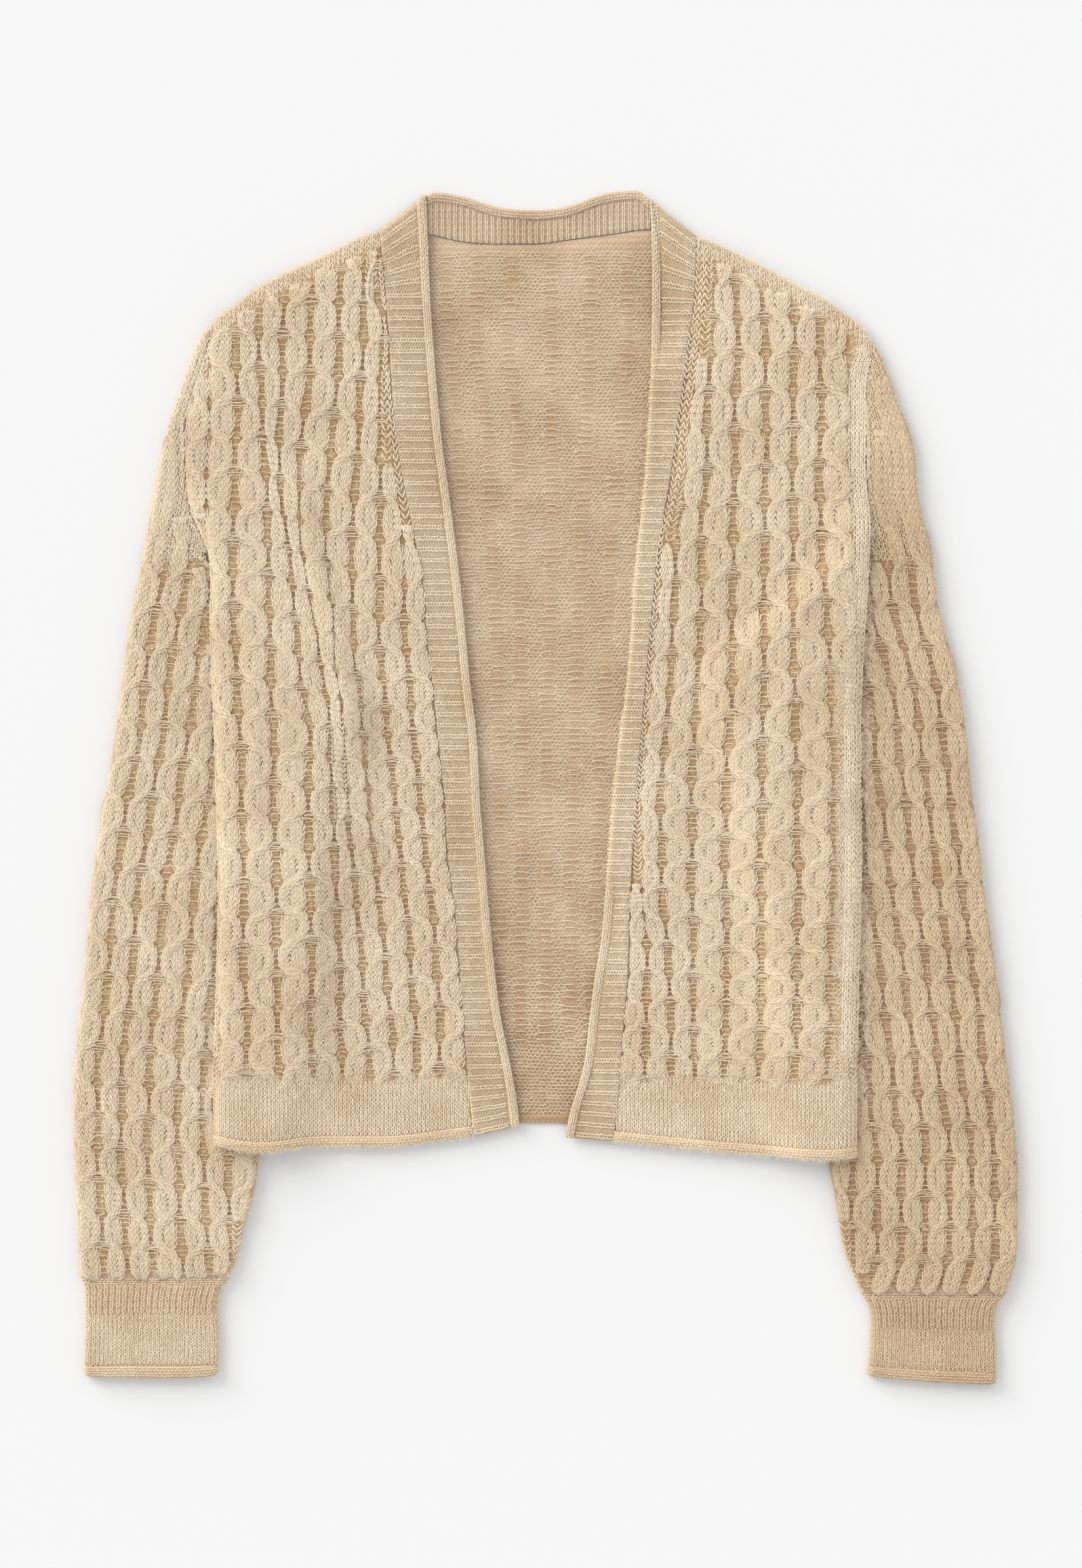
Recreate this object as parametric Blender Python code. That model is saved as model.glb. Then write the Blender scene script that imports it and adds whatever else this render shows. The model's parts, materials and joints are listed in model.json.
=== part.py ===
"""Cable knit cardigan, laid flat on its back with the fronts slightly apart.

Ten knitted pieces: back, two fronts, two sleeves, two cuffs, two front bands and a neck band.
Frame: +X runs to the wearer's left, +Y runs from hem to neck, +Z points up from the surface that
the garment lies on. The origin is under the middle of the laid-out garment.
The tables are in millimetres, in that frame; MM turns them to metres.
Every piece is a wall with its cables, ribs or rolled edge raised on the outer side only.
"""

import bpy
import bmesh
import mathutils
import numpy as np

MM = 0.001
COLLECTION = "cable_knit_cardigan"

# Thicknesses and heights, mm.
WALL = 2.2  # plain knitting
SEAM = 0.3  # between pieces that are sewn together
BACK_SEAM = 0.8  # between the back and the sleeves' undersides
TUCK = 1.5  # how far the back's edge stays inside the folded side
SEAM_WALL = 0.8  # a front's wall at its folded side, where it meets the back
BEVEL = 0.6  # a wall's inner edge stays this far inside its outer edge at a band
SNAKE = 2.8  # the cable's upper strand over the bottom of a ladder
STRAND = 1.3  # the cable's lower strand over the bottom of a ladder
PLAIN = 0.8  # plain knitting over the bottom of a ladder
RIB = 1.0  # a rib of the front bands over its furrow
FINE_RIB = 0.8  # a rib of a cuff or the neck band over its furrow
ROLL = 1.6  # a rolled hem over the knitting beside it
SLEEVE_HIGH = 6.5  # a flattened sleeve without its cables
SLEEVE_BEND = 3.0  # half the thickness of a sleeve or cuff at its folds, seen from above
OVER_SLEEVE = SLEEVE_HIGH + 0.4  # the back's underside where it lies on a sleeve
SHORE = 32.0  # the width over which the back comes down from a sleeve to the surface
SHORE_IN = 4.0  # the back starts to come down this far inside the sleeve's inner edge
PUFF = 2.9  # air between back and front beside the side seams
FOLD = 9.0  # how far in from a side seam the front has risen to its full height
SHOULDER = 11.0  # the same, from a shoulder seam
CREASE = 1.6  # a front's inner surface starts this far inside its folded edge

# Front bands, mm.
BAND_RIB = 6.5  # from one rib to the next
BAND_WIDE = 26.0  # a front band with its rolled edge
ROLL_WIDE = 5.2  # the rolled edge alone
BAND_ENDS = 12.0  # the rows slant over one of this many parts of the band at each end
CURL = 2.9  # outer radius of the wearer's left band where it curls under
NECK_RIBS = 36
CUFF_RIBS = 20
CUFF_STEPS = (  # (share of a cuff's length, rib height, extra thickness)
    (0.0, 0.2, -0.6), (0.06, 1.0, 0.0), (0.34, 1.0, 0.0), (0.40, 0.0, 0.0), (0.80, 0.0, 0.0),
    (0.87, 0.0, -0.5), (0.94, 0.0, 1.1), (1.0, 0.0, -0.6),
)

# Where the armhole seam passes under the body, and where the sleeve is a closed tube.
LIFT_TOP = 185.0
LIFT_FULL = 139.0
YOKE = 249.0  # above this the rows close up towards the shoulder seam
PLAIN_YOKE = 12.0  # depth of the plain knitting along a shoulder seam
HEM_TOP = -175.0  # the cables end here
HEM_ROLL = 6.5  # depth of a rolled hem
HEM_DEPTHS = (0.0, 0.45 * HEM_ROLL, HEM_ROLL, 3.2 * HEM_ROLL)  # rows of a front above its hem
HEM_DROP = 1.0  # how far the hem's edge turns down
HEM_GROOVE = 0.5  # the furrow above the rolled hem
SEAM_DROP = 1.2  # how far a front turns down at its shoulder seam
TOP_ROW = 322.0  # the rows that run level end here

# How closely the rows and columns stand.
FRONT_STEP = 0.25  # rows of a front, in cable waists
SLEEVE_STEP = 0.5  # rows of a sleeve, in cable waists
COLUMN_ROUNDS = 4  # a row and its columns are found from each other this often
LEAST_COLUMN = 1.0  # columns of a front stay this far apart
PILE = 1.2  # sleeve ladders that pass under the armhole seam stand this far apart there
BACK_LEVELS = (  # (from Y, to Y, step) of the back's level rows
    (-190.0, LIFT_FULL, 14.0), (LIFT_FULL, LIFT_TOP, 9.0), (LIFT_TOP, 250.0, 12.0),
)
YOKE_SHARES = (0.34, 0.67, 1.0)  # rows of the back from the last level row to its top edge

# One side's outlines, as (Y, X) rows. The wearer's right is on the -X side.
SIDES = {
    "right": {
        "sign": -1,
        "outer": (  # the sleeve's outer edge
            (271, -200.5), (265, -204), (245, -212), (221, -220), (197, -227), (163, -233.5),
            (135, -238), (93, -246), (53, -251.5), (17, -256.5), (-19, -262.5), (-55, -268),
            (-103, -272), (-143, -276), (-175, -278.5), (-211, -278.5), (-251, -277),
            (-290.5, -274.5),
        ),
        "inner": (  # the sleeve's inner edge, under the body down to the hem
            (137, -202), (113, -182), (65, -134), (-15, -143.5), (-95, -154), (-191, -166),
            (-215.5, -169), (-239, -172.5), (-259, -178), (-283, -184.5), (-290.5, -188),
        ),
        "side": (  # the armhole seam, then the body's folded side
            (274, -197), (259, -199.5), (238.5, -206), (225, -210), (214.5, -212.5), (198, -212.5),
            (165, -209.5), (139, -199), (93, -198), (47, -196), (-14.5, -194), (-54, -193),
            (-127, -194.5), (-175, -196), (-212, -196),
        ),
        "shoulder": (  # the shoulder seam, as (X, Y)
            (-197, 274), (-194.5, 277), (-183, 285), (-174, 293), (-160, 301), (-142.5, 309),
            (-126, 317), (-110, 325), (-98, 329.5),
        ),
        "hem": ((-196, -211), (-168, -215), (-136, -212), (-95.5, -212), (-42, -206)),
        "band_outer": (
            (329.5, -98), (293, -94.5), (257, -92), (225, -90), (193, -86), (149, -77.5),
            (119, -72), (89, -70), (59, -66.5), (29.5, -63.5), (-8, -59.5), (-37, -58),
            (-65, -54.5), (-117, -50), (-165.5, -46.5), (-191.5, -44), (-206, -42),
        ),
        "band_inner": (
            (350, -71), (323, -70), (204.5, -61), (179, -57.5), (119, -50), (59, -44), (29.5, -40.5),
            (-8, -38.5), (-50.5, -35), (-96.5, -31), (-137, -26), (-154, -22.5), (-173, -19),
            (-200, -15.5),
        ),
        "band_curl": ((350, 0), (-210, 0)),  # share of the band that is turned under
        "band_lift": ((350, 0.9), (-210, 0.9)),  # air under the front at the band
        "ladders": (  # (Y, X of each ladder from the side to the band)
            (305, -183.5, -170, -154, -137.5, -120.5, -106, -99.5, -98),
            (265, -182.5, -168.5, -154.5, -139, -122, -107.5, -95.5, -93.5),
            (225, -182, -167.5, -156, -141, -124, -109.5, -97, -92.5),
            (185, -183, -165, -157, -145.5, -128, -112, -97.5, -89),
            (145, -184, -163.5, -152, -144, -130, -114, -98, -84),
            (105, -183.5, -162, -148, -137.5, -126.5, -114, -98, -83.5),
            (65, -182, -161, -143.5, -130.5, -122.5, -112, -96, -80.5),
            (25, -179.5, -160, -138, -126, -118, -108, -92, -76.5),
            (-15, -178, -160, -139.5, -124.5, -116, -104.5, -88.5, -73),
            (-55, -177, -158, -139, -123.5, -112, -99, -84, -69),
            (-95, -178, -158, -137.5, -122, -109, -95, -80, -65),
            (-135, -176, -157.5, -138, -121, -106, -91, -77, -62.5),
            (-175, -175.5, -156.5, -137, -120, -103.5, -89.5, -75, -62),
        ),
        "ladder_tops": (400, 400, 400, 400, 400, 400, 400, 125),  # where each ladder starts
        "waists_at": (-166, -106, -73),  # X of the next table's columns
        "waists": (  # (number, Y at each of those X) where the cables close in on every second ladder
            (0, 333, 335, 335), (1, 295, 293, 292), (2, 255, 249, 247), (3, 213, 201, 199),
            (4, 171.5, 155, 151), (5, 133, 109, 105), (6, 93, 69, 70), (7, 51, 35, 39),
            (8, 10, 3, 9), (9, -30, -29, -22.5), (10, -69.5, -63, -55), (11, -106.5, -98, -88.5),
            (12, -143, -133, -124.5), (13, -180, -167, -159), (14, -217, -202.5, -194.5),
        ),
        "fold_columns": (0.0, 1.4, 4.6, 9.0),
        "sleeve_ladders": (14.5, 28.5, 44, 61.5, 76.5, 91),  # from the outer edge
        "sleeve_parity": 1,
        "sleeve_waists": (
            (0, 180), (1, 135), (2, 89.5), (3, 45.5), (4, 1.5), (5, -41), (6, -84), (7, -127),
            (8, -168.5), (9, -207.5), (10, -246.5), (11, -285),
        ),
        "sleeve_end": -290.5,
        "cuff_outer": ((-290.5, -274.5), (-296, -272), (-331, -272), (-348.4, -272.5)),
        "cuff_inner": ((-290.5, -188), (-296, -191.5), (-331, -193.5), (-348.4, -194)),
        "cuff_end": (-348.4, -348.4),  # Y at the outer and inner edge
    },
    "left": {
        "sign": 1,
        "outer": (
            (261.5, 195.5), (245, 202), (221, 210.5), (197, 217.5), (167, 221), (137, 228.5),
            (105, 232.5), (77, 240.5), (41, 247.5), (5, 251), (-31, 256), (-67, 260), (-103, 265.5),
            (-147, 270.5), (-187, 275.5), (-223, 279), (-271, 279), (-299.5, 272),
        ),
        "inner": (
            (137, 192), (113, 170), (65, 123.5), (-15, 138), (-95, 152), (-191, 163), (-215.5, 166.5),
            (-247, 172), (-271, 176), (-291, 183), (-299.5, 187),
        ),
        "side": (
            (261, 195), (249, 191), (235, 189), (185.5, 189), (154.5, 191.5), (123.5, 190.5),
            (77.5, 187.5), (31.5, 186), (-45, 186.5), (-127, 184.5), (-175, 184), (-218.5, 183.5),
        ),
        "shoulder": (
            (89, 326), (101.5, 321), (118, 313), (134, 305), (148, 297), (164, 289), (175.5, 281),
            (186, 273), (195, 261),
        ),
        "hem": ((40, -209), (78, -213), (126, -217), (168, -219.5), (183.5, -217.5)),
        "band_outer": (
            (326, 89), (289, 88), (264.5, 84.5), (233, 80.5), (186, 74), (143, 67), (94.5, 62),
            (66.5, 59.5), (5.5, 54.5), (-53.5, 50.5), (-113, 48.5), (-142.5, 46), (-172, 44),
            (-209, 40),
        ),
        "band_inner": (
            (350, 58), (325, 61.5), (294.5, 63), (240, 62), (180.5, 58.5), (130, 53), (66.5, 48.5),
            (15.5, 42), (-53.5, 36), (-89, 33), (-113, 29), (-136.5, 26), (-162, 23), (-178, 19),
            (-191.5, 15), (-206.5, 12),
        ),
        "band_curl": ((350, 0), (275, 0), (235, 1), (-40, 1), (-75, 0), (-210, 0)),
        "band_lift": ((350, 0.9), (300, 0.9), (235, 3.9), (-40, 3.9), (-110, 0.9), (-210, 0.9)),
        "ladders": (  # from the band to the side
            (305, 93, 95, 99, 112, 126.5, 146, 160.5, 176.5),
            (265, 88, 91, 97.5, 113.5, 130, 147.5, 162, 177.5),
            (225, 83, 86.5, 96, 112, 130, 146.5, 163, 179),
            (185, 77.5, 81.5, 95, 112, 130, 146, 162, 180.5),
            (145, 70, 77.5, 91.5, 111, 129.5, 146, 162.5, 182.5),
            (105, 66.5, 76, 92, 110, 129.5, 146, 165.5, 183),
            (65, 62.5, 74, 90, 110, 128.5, 146.5, 168, 183),
            (25, 59, 70, 87.5, 108.5, 127.5, 147.5, 170, 182),
            (-15, 57, 68, 86, 106.5, 127.5, 148, 170, 182),
            (-55, 57, 69, 86.5, 106, 127, 149, 169.5, 182),
            (-95, 59.5, 72, 87.5, 107, 127.5, 148.5, 168, 181.5),
            (-135, 59.5, 74, 87.5, 107, 127, 148, 168, 181),
            (-175, 59, 74, 88, 105, 125.5, 146, 166, 180.5),
        ),
        "ladder_tops": (-80, 180, 400, 400, 400, 400, 400, 400),
        "waists_at": (74, 110, 147),
        "waists": (
            (0, 353, 351, 349), (1, 309, 307, 305.5), (2, 263, 263, 263), (3, 217.5, 219, 220),
            (4, 171.5, 173.5, 177), (5, 128, 133, 136), (6, 85, 89, 97), (7, 43.5, 49, 56),
            (8, 8, 12, 18), (9, -23.5, -24, -20.5), (10, -55, -59, -57), (11, -87, -91, -90.5),
            (12, -120, -123, -121), (13, -153, -155, -152), (14, -185, -187, -183),
            (15, -217, -219, -215),
        ),
        "fold_columns": (0.0, 1.4),
        "sleeve_ladders": (13.5, 27, 40.5, 54.5, 68.5, 83, 98.5),
        "sleeve_parity": 0,
        "sleeve_waists": (
            (0, 139), (1, 91), (2, 44.5), (3, -2), (4, -49.5), (5, -87), (6, -127), (7, -173),
            (8, -213.5), (9, -253), (10, -292),
        ),
        "sleeve_end": -299.5,
        "cuff_outer": ((-299.5, 272), (-306, 267), (-331, 266), (-353.4, 266)),
        "cuff_inner": ((-299.5, 187), (-306, 191), (-331, 191.5), (-348.6, 190)),
        "cuff_end": (-353.4, -348.6),
    },
}

# The back's outline, as (X, Y), and the neck band between it and the collar's rolled edge.
BACK_TOP = (
    (-197, 274), (-183, 285), (-160, 301), (-126, 317), (-98, 328), (-70, 327.5), (-52.5, 323.5),
    (-31, 321.5), (-7, 321.5), (14, 324), (41, 327.5), (61, 330), (89, 326), (118, 313),
    (148, 297), (175, 281), (195, 261),
)
BACK_MIDDLE = (-70.0, -50.0, -29.0, -8.0, 15.0, 38.0, 61.0)  # X of the columns behind the neck
BACK_COLUMNS = len(BACK_MIDDLE) + 10
BACK_HEM = ((-196, -203), (-60, -200), (0, -198.5), (60, -201), (184, -208))
NECK_TOP = (
    (-69, 350.5), (-66, 352), (-48, 349.5), (-31, 344), (-7, 341.5), (14, 344), (34, 351), (50, 353),
    (56, 352.5), (61, 348),
)
NECK_ROLL = 5.6  # depth of the neck band's rolled edge
NECK_TIP = 1.2  # thickness of its free edge
NECK_START = 338.0  # Y at which the front bands' edges bound it
NECK_SIDE = 1.2  # between it and either of them

COLOURS = {  # linear RGB of the yarn, a little different from piece to piece
    "back_panel": (0.60, 0.53, 0.45),
    "front_panel": (0.72, 0.66, 0.58),
    "sleeve": (0.66, 0.60, 0.52),
    "cuff": (0.68, 0.62, 0.54),
    "front_band": (0.69, 0.63, 0.55),
    "neck_band": (0.58, 0.51, 0.43),
}


# ---------------------------------------------------------------- curves and fields


def along(table, at):
    """The second column of a two-column table, read at `at` along its first column."""
    rows = np.array(sorted(table), float)
    return np.interp(at, rows[:, 0], rows[:, 1])


def eased(share):
    """A share from 0 to 1, levelled off at both ends."""
    share = np.clip(share, 0.0, 1.0)
    return share * share * (3.0 - 2.0 * share)


def quarter_round(distance, radius):
    """Rises from 0 at an edge to 1 at `radius` inside it, like a quarter of an ellipse."""
    left = 1.0 - np.clip(np.asarray(distance, float) / radius, 0.0, 1.0)
    return np.sqrt(1.0 - left * left)


def lifted(y):
    """0 where the body lies beside the sleeve at the armhole, 1 where it lies on the sleeve."""
    return eased((LIFT_TOP - y) / (LIFT_TOP - LIFT_FULL))


def over_sleeve(side, x, y):
    """1 over a sleeve, falling to 0 towards the garment's middle."""
    past = (along(side["inner"], y) - x) * side["sign"]
    return np.where(y > LIFT_FULL, 1.0, eased(1.0 - (past - SHORE_IN) / SHORE))


def back_cover(x, y, reach=4.5):
    """Height of the back's upper side, taking the highest of what lies close by."""
    steps = ((0, 0), (reach, 0), (-reach, 0), (0, reach), (0, -reach))
    return np.maximum.reduce([back_under(x + dx, y + dy) for dx, dy in steps]) + WALL


def back_under(x, y):
    """Height of the back's underside: on the surface in the middle, up on the sleeves beside it."""
    inside = [along(s["side"], y) * s["sign"] - x * s["sign"] for s in SIDES.values()]
    near = [
        np.where(y > LIFT_FULL, eased(1.0 - d / SHORE), over_sleeve(s, x, y))
        for s, d in zip(SIDES.values(), inside)
    ]
    return OVER_SLEEVE * lifted(y) * np.maximum(*near)


def shoulder_depth(side, x, y):
    """How far a point lies below its side's shoulder seam, measured up the garment."""
    return along(side["shoulder"], x) - y


def front_under(side, x, y, inset=CREASE):
    """Height of a front's underside: on the back, with air between them away from the seams."""
    sign = side["sign"]
    from_side = (along(side["side"], y) - x) * sign
    from_band = (x - along(side["band_outer"], y)) * sign
    width = np.maximum(from_side + from_band, 1.0)
    seam_gap = SEAM + (SLEEVE_HIGH - 2 * WALL - SEAM) * (1.0 - lifted(y))
    band_gap = along(side["band_lift"], y)
    air = seam_gap + (PUFF - seam_gap) * quarter_round(from_side - inset, FOLD)
    air = air + (band_gap - air) * eased(from_side / width)
    air = SEAM + (air - SEAM) * quarter_round(shoulder_depth(side, x, y) + 1.0, SHOULDER)
    return back_cover(x, y) + air


def waist_number(side, x, y):
    """Which cable waist a point is level with, counted down from the neck, with its fraction."""
    rows = np.array(side["waists"], float)
    order = np.argsort(side["waists_at"])
    at = np.array(side["waists_at"], float)[order]
    levels = rows[:, 1:][:, order]
    out = np.empty(np.shape(x))
    for index in np.ndindex(out.shape):
        here = [np.interp(x[index], at, level) for level in levels]
        out[index] = np.interp(-y[index], -np.array(here), rows[:, 0])
    return out


def waist_height(side, number, x):
    """Y of waist `number` at x."""
    rows = np.array(side["waists"], float)
    order = np.argsort(side["waists_at"])
    at = np.array(side["waists_at"], float)[order]
    here = np.array([np.interp(x, at, level[order]) for level in rows[:, 1:]])
    return np.interp(number, rows[:, 0], here)


# ---------------------------------------------------------------- building closed walls


def rim(bm, outer, inner):
    """Faces between a wall's outer edge and its inner edge, which has a point at some stations only."""
    held = inner[0]
    for k in range(len(outer) - 1):
        following = inner[k + 1]
        if following is None:
            bm.faces.new([outer[k], outer[k + 1], held])
            continue
        bm.faces.new([outer[k], outer[k + 1], following, held])
        held = following


def edge_stations(rows, columns, tube_rows):
    """The open edges of a sheet of rows x columns whose first `tube_rows` rows close round into a tube."""
    last_row, last_column = rows - 1, columns - 1
    if tube_rows == rows:
        ring = list(range(columns))
        return [[(0, c) for c in ring], [(last_row, c) for c in ring]]
    first = max(tube_rows - 1, 0)
    up = [(r, last_column) for r in range(first, rows)]
    over = [(last_row, c) for c in range(last_column - 1, -1, -1)]
    down = [(r, 0) for r in range(last_row - 1, first - 1, -1)]
    if tube_rows:
        return [[(0, c) for c in range(columns)], up + over + down]
    return [[(0, c) for c in range(columns)] + up[1:] + over + down]


def sheet_faces(bm, verts, rows, columns, tube_rows, turned):
    """Fills a sheet with quads, or with two triangles each where `turned` gives their diagonal."""
    for r0, r1 in zip(rows[:-1], rows[1:]):
        for c0, c1 in zip(columns[:-1], columns[1:]):
            quad = [verts[r0, c0], verts[r0, c1], verts[r1, c1], verts[r1, c0]]
            if turned is None:
                bm.faces.new(quad)
                continue
            shift = 1 if turned[r0, c0] else 0
            quad = quad[shift:] + quad[:shift]
            bm.faces.new(quad[:3])
            bm.faces.new([quad[2], quad[3], quad[0]])


def knit_wall(name, colour, outer, inner, inner_rows, inner_columns, tube_rows=0, turned=None):
    """One closed wall from its outer and inner points, both (rows, columns, xyz) in millimetres.

    The inner side uses only the rows and columns listed. The first `tube_rows` rows are rings.
    """
    rows, columns = outer.shape[:2]
    bm = bmesh.new()
    layers = []
    for points, kept in ((outer, None), (inner, (set(inner_rows), set(inner_columns)))):
        verts = {}
        for r, c in np.ndindex(rows, columns):
            if kept and (r not in kept[0] or c not in kept[1]):
                continue
            if r < tube_rows and c == columns - 1:
                verts[r, c] = verts[r, 0]
            else:
                verts[r, c] = bm.verts.new(points[r, c] * MM)
        layers.append(verts)
    sheet_faces(bm, layers[0], range(rows), range(columns), tube_rows, turned)
    sheet_faces(bm, layers[1], inner_rows, inner_columns, tube_rows, None)
    for loop in edge_stations(rows, columns, tube_rows):
        rim(bm, [layers[0][s] for s in loop], [layers[1].get(s) for s in loop])
    bmesh.ops.recalc_face_normals(bm, faces=bm.faces)
    mesh = bpy.data.meshes.new(name)
    bm.to_mesh(mesh)
    bm.free()
    mesh.shade_smooth()
    mesh.set_sharp_from_angle(angle=1.0)
    mesh.materials.append(yarn(name, colour))
    piece = bpy.data.objects.new(name, mesh)
    bpy.data.collections[COLLECTION].objects.link(piece)
    return piece


def yarn(name, colour):
    """A matt yarn material for one piece."""
    material = bpy.data.materials.new(name)
    material.use_nodes = True
    shader = material.node_tree.nodes["Principled BSDF"]
    shader.inputs["Base Color"].default_value = (*COLOURS[colour], 1.0)
    shader.inputs["Roughness"].default_value = 0.9
    shader.inputs["Metallic"].default_value = 0.0
    return material


def every(count, step):
    """0, step, 2 step ... and always the last index."""
    kept = list(range(0, count, step))
    return kept if kept[-1] == count - 1 else kept + [count - 1]


# ---------------------------------------------------------------- the cables


def lane_place(swing, first):
    """Where a strand's crest runs between two ladders, 0 to 1; swing is 1 with the snake at the first."""
    reach = 0.22 + 0.2 * (1.0 - swing * swing)
    return reach if first else 1.0 - reach


def lane_height(swing, first):
    """Height of that crest: the snake's or the lower strand's."""
    snake_at = 0.5 - 0.24 * swing
    off = (lane_place(swing, first) - snake_at) / 0.17
    return STRAND + (SNAKE - STRAND) * np.exp(-off * off)


def swing_of(number, strip, parity):
    """1 where the strip's snake touches its first ladder, -1 where it touches its second."""
    facing = 1.0 if strip % 2 == parity else -1.0
    return facing * np.cos(2.0 * np.pi * number)


# ---------------------------------------------------------------- fronts


def front_columns(side, y):
    """X of a front's columns at height y, band first, and what each column is.

    A column is ("edge", 0), ("fold", inset), ("ladder", k) or ("lane", (k, first)).
    """
    sign = side["sign"]
    edge = along(side["side"], y)
    band = along(side["band_outer"], y) + SEAM * sign
    ladders = [along([(row[0], row[k]) for row in side["ladders"]], y) for k in range(1, 9)]
    kinds = [("ladder", 0)]
    places = [ladders[0]]
    number = waist_number(side, np.array([edge]), np.array([y]))[0]
    for k in range(7):
        swing = swing_of(number, k, 1)
        for first in (True, False):
            places.append(ladders[k] + (ladders[k + 1] - ladders[k]) * lane_place(swing, first))
            kinds.append(("lane", (k, first)))
        places.append(ladders[k + 1])
        kinds.append(("ladder", k + 1))
    folds = [(edge - sign * inset, ("fold", inset)) for inset in side["fold_columns"]]
    if sign < 0:
        places = [p for p, _ in folds] + places + [band]
        kinds = [kind for _, kind in folds] + kinds + [("edge", 0)]
    else:
        places = [band] + places + [p for p, _ in reversed(folds)]
        kinds = [("edge", 0)] + kinds + [kind for _, kind in reversed(folds)]
    return spread(np.array(places, float)), kinds


def spread(places):
    """Keeps columns at least LEAST_COLUMN apart, outwards from both ends to the middle."""
    places = places.copy()
    half = len(places) // 2
    for k in range(1, half):
        places[k] = max(places[k], places[k - 1] + LEAST_COLUMN)
    for k in range(len(places) - 2, half - 1, -1):
        places[k] = min(places[k], places[k + 1] - LEAST_COLUMN)
    return places


def cable_row(side, xs, number, top_number):
    """Y of a row that follows the cables; above YOKE the rows close up to the shoulder seam."""
    level = np.array([waist_height(side, number, x) for x in xs])
    top = np.array([waist_height(side, top_number, x) for x in xs])
    seam = along(side["shoulder"], xs) - 0.5 * SEAM
    share = np.clip((level - YOKE) / (top - YOKE), 0.0, 1.0)
    return np.where(level > YOKE, YOKE + (seam - YOKE) * share, level)


def hem_row(side, xs, depth):
    """Y of a row that follows the hem, `depth` above it."""
    return np.interp(xs, *np.array(side["hem"], float).T) + depth


def front_grid(side):
    """X and Y of a front's outer points, rows from the hem up, with each column's kind."""
    middle = side["waists_at"][1]
    first, last = side["waists"][-1][0], side["waists"][0][0]
    levels = {n: waist_height(side, n, middle) for n in np.arange(first, last - 0.01, -FRONT_STEP)}
    numbers = [n for n, level in levels.items() if HEM_TOP + 3.0 < level < TOP_ROW]
    rows = [("hem", depth) for depth in HEM_DEPTHS] + [("cable", number) for number in numbers]
    grid_x, grid_y = [], []
    for follows, value in rows:
        xs, kinds = front_columns(side, levels[value if follows == "cable" else numbers[0]])
        for _ in range(COLUMN_ROUNDS):
            if follows == "hem":
                ys = hem_row(side, xs, value)
            else:
                ys = cable_row(side, xs, value, numbers[-1])
            columns = [front_columns(side, y)[0] for y in ys]
            xs = np.array([column[k] for k, column in enumerate(columns)])
        grid_x.append(xs)
        grid_y.append(ys)
    return np.array(grid_x), np.array(grid_y), kinds


def front_relief(side, x, y, kinds):
    """Height of a front's pattern over the bottom of its ladders."""
    numbers = waist_number(side, x, y)
    depth = shoulder_depth(side, x, y)
    cabled = eased((depth - PLAIN_YOKE + 4.0) / 5.0) * eased((y - HEM_TOP + 2.0) / 4.0)
    tops = side["ladder_tops"]
    relief = np.full(x.shape, PLAIN)
    for c, (kind, detail) in enumerate(kinds):
        if kind == "ladder":
            open_here = cabled[:, c] * eased((tops[detail] - y[:, c]) / 12.0)
            relief[:, c] = PLAIN * (1.0 - open_here)
        elif kind == "lane":
            k, first = detail
            narrow = min(tops[k], tops[k + 1])
            here = cabled[:, c] * eased((narrow + 10.0 - y[:, c]) / 12.0)
            high = lane_height(swing_of(numbers[:, c], k, 1), first)
            relief[:, c] = PLAIN + (high - PLAIN) * here
    return relief


def front_top(side, x, y, relief):
    """Height of a front's outer side, rounded over its folded side and at the armhole seam."""
    from_side = (along(side["side"], y) - x) * side["sign"]
    full = front_under(side, x, y, inset=0.0) + WALL + relief
    seam_wall = WALL + (SEAM_WALL - WALL) * lifted(y)
    seam_level = front_under(side, along(side["side"], y), y) + seam_wall
    rounded = seam_level + (full - seam_level) * quarter_round(from_side, FOLD)
    return np.where(from_side < FOLD, np.minimum(full, rounded), full)


def make_front(name, side):
    """A front: hem with its rolled edge, cables, and plain knitting along the shoulder."""
    x, y, kinds = front_grid(side)
    sign = side["sign"]
    relief = front_relief(side, x, y, kinds)
    relief[1] += ROLL
    relief[2] -= HEM_GROOVE
    top = front_top(side, x, y, relief)
    top[-1] -= SEAM_DROP
    top[0] -= HEM_DROP
    outer = np.dstack([x, y, top])
    edge = 0 if sign < 0 else len(kinds) - 1
    band = len(kinds) - 1 - edge
    inner_x = x.copy()
    inner_x[:, edge] -= sign * CREASE * lifted(y[:, edge])
    inner_x[:, band] += sign * BEVEL
    inner = np.dstack([inner_x, y, front_under(side, inner_x, y)])
    by_armhole = {row for row in range(len(x)) if y[row, edge] > LIFT_FULL - 30.0}
    rows = sorted(set(every(len(x), 3)) | by_armhole)
    knit_wall(name, "front_panel", outer, inner, rows, inner_columns_of(kinds))
    return x, y


def inner_columns_of(kinds):
    """The inner side's columns: the edges, the ladders and two in the fold."""
    kept = [c for c, (kind, detail) in enumerate(kinds) if kind == "ladder" and detail != 0]
    kept += [c for c, (kind, detail) in enumerate(kinds) if kind == "fold" and detail in (0.0, 4.6)]
    return sorted(set(kept) | {0, len(kinds) - 1})


# ---------------------------------------------------------------- back


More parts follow.
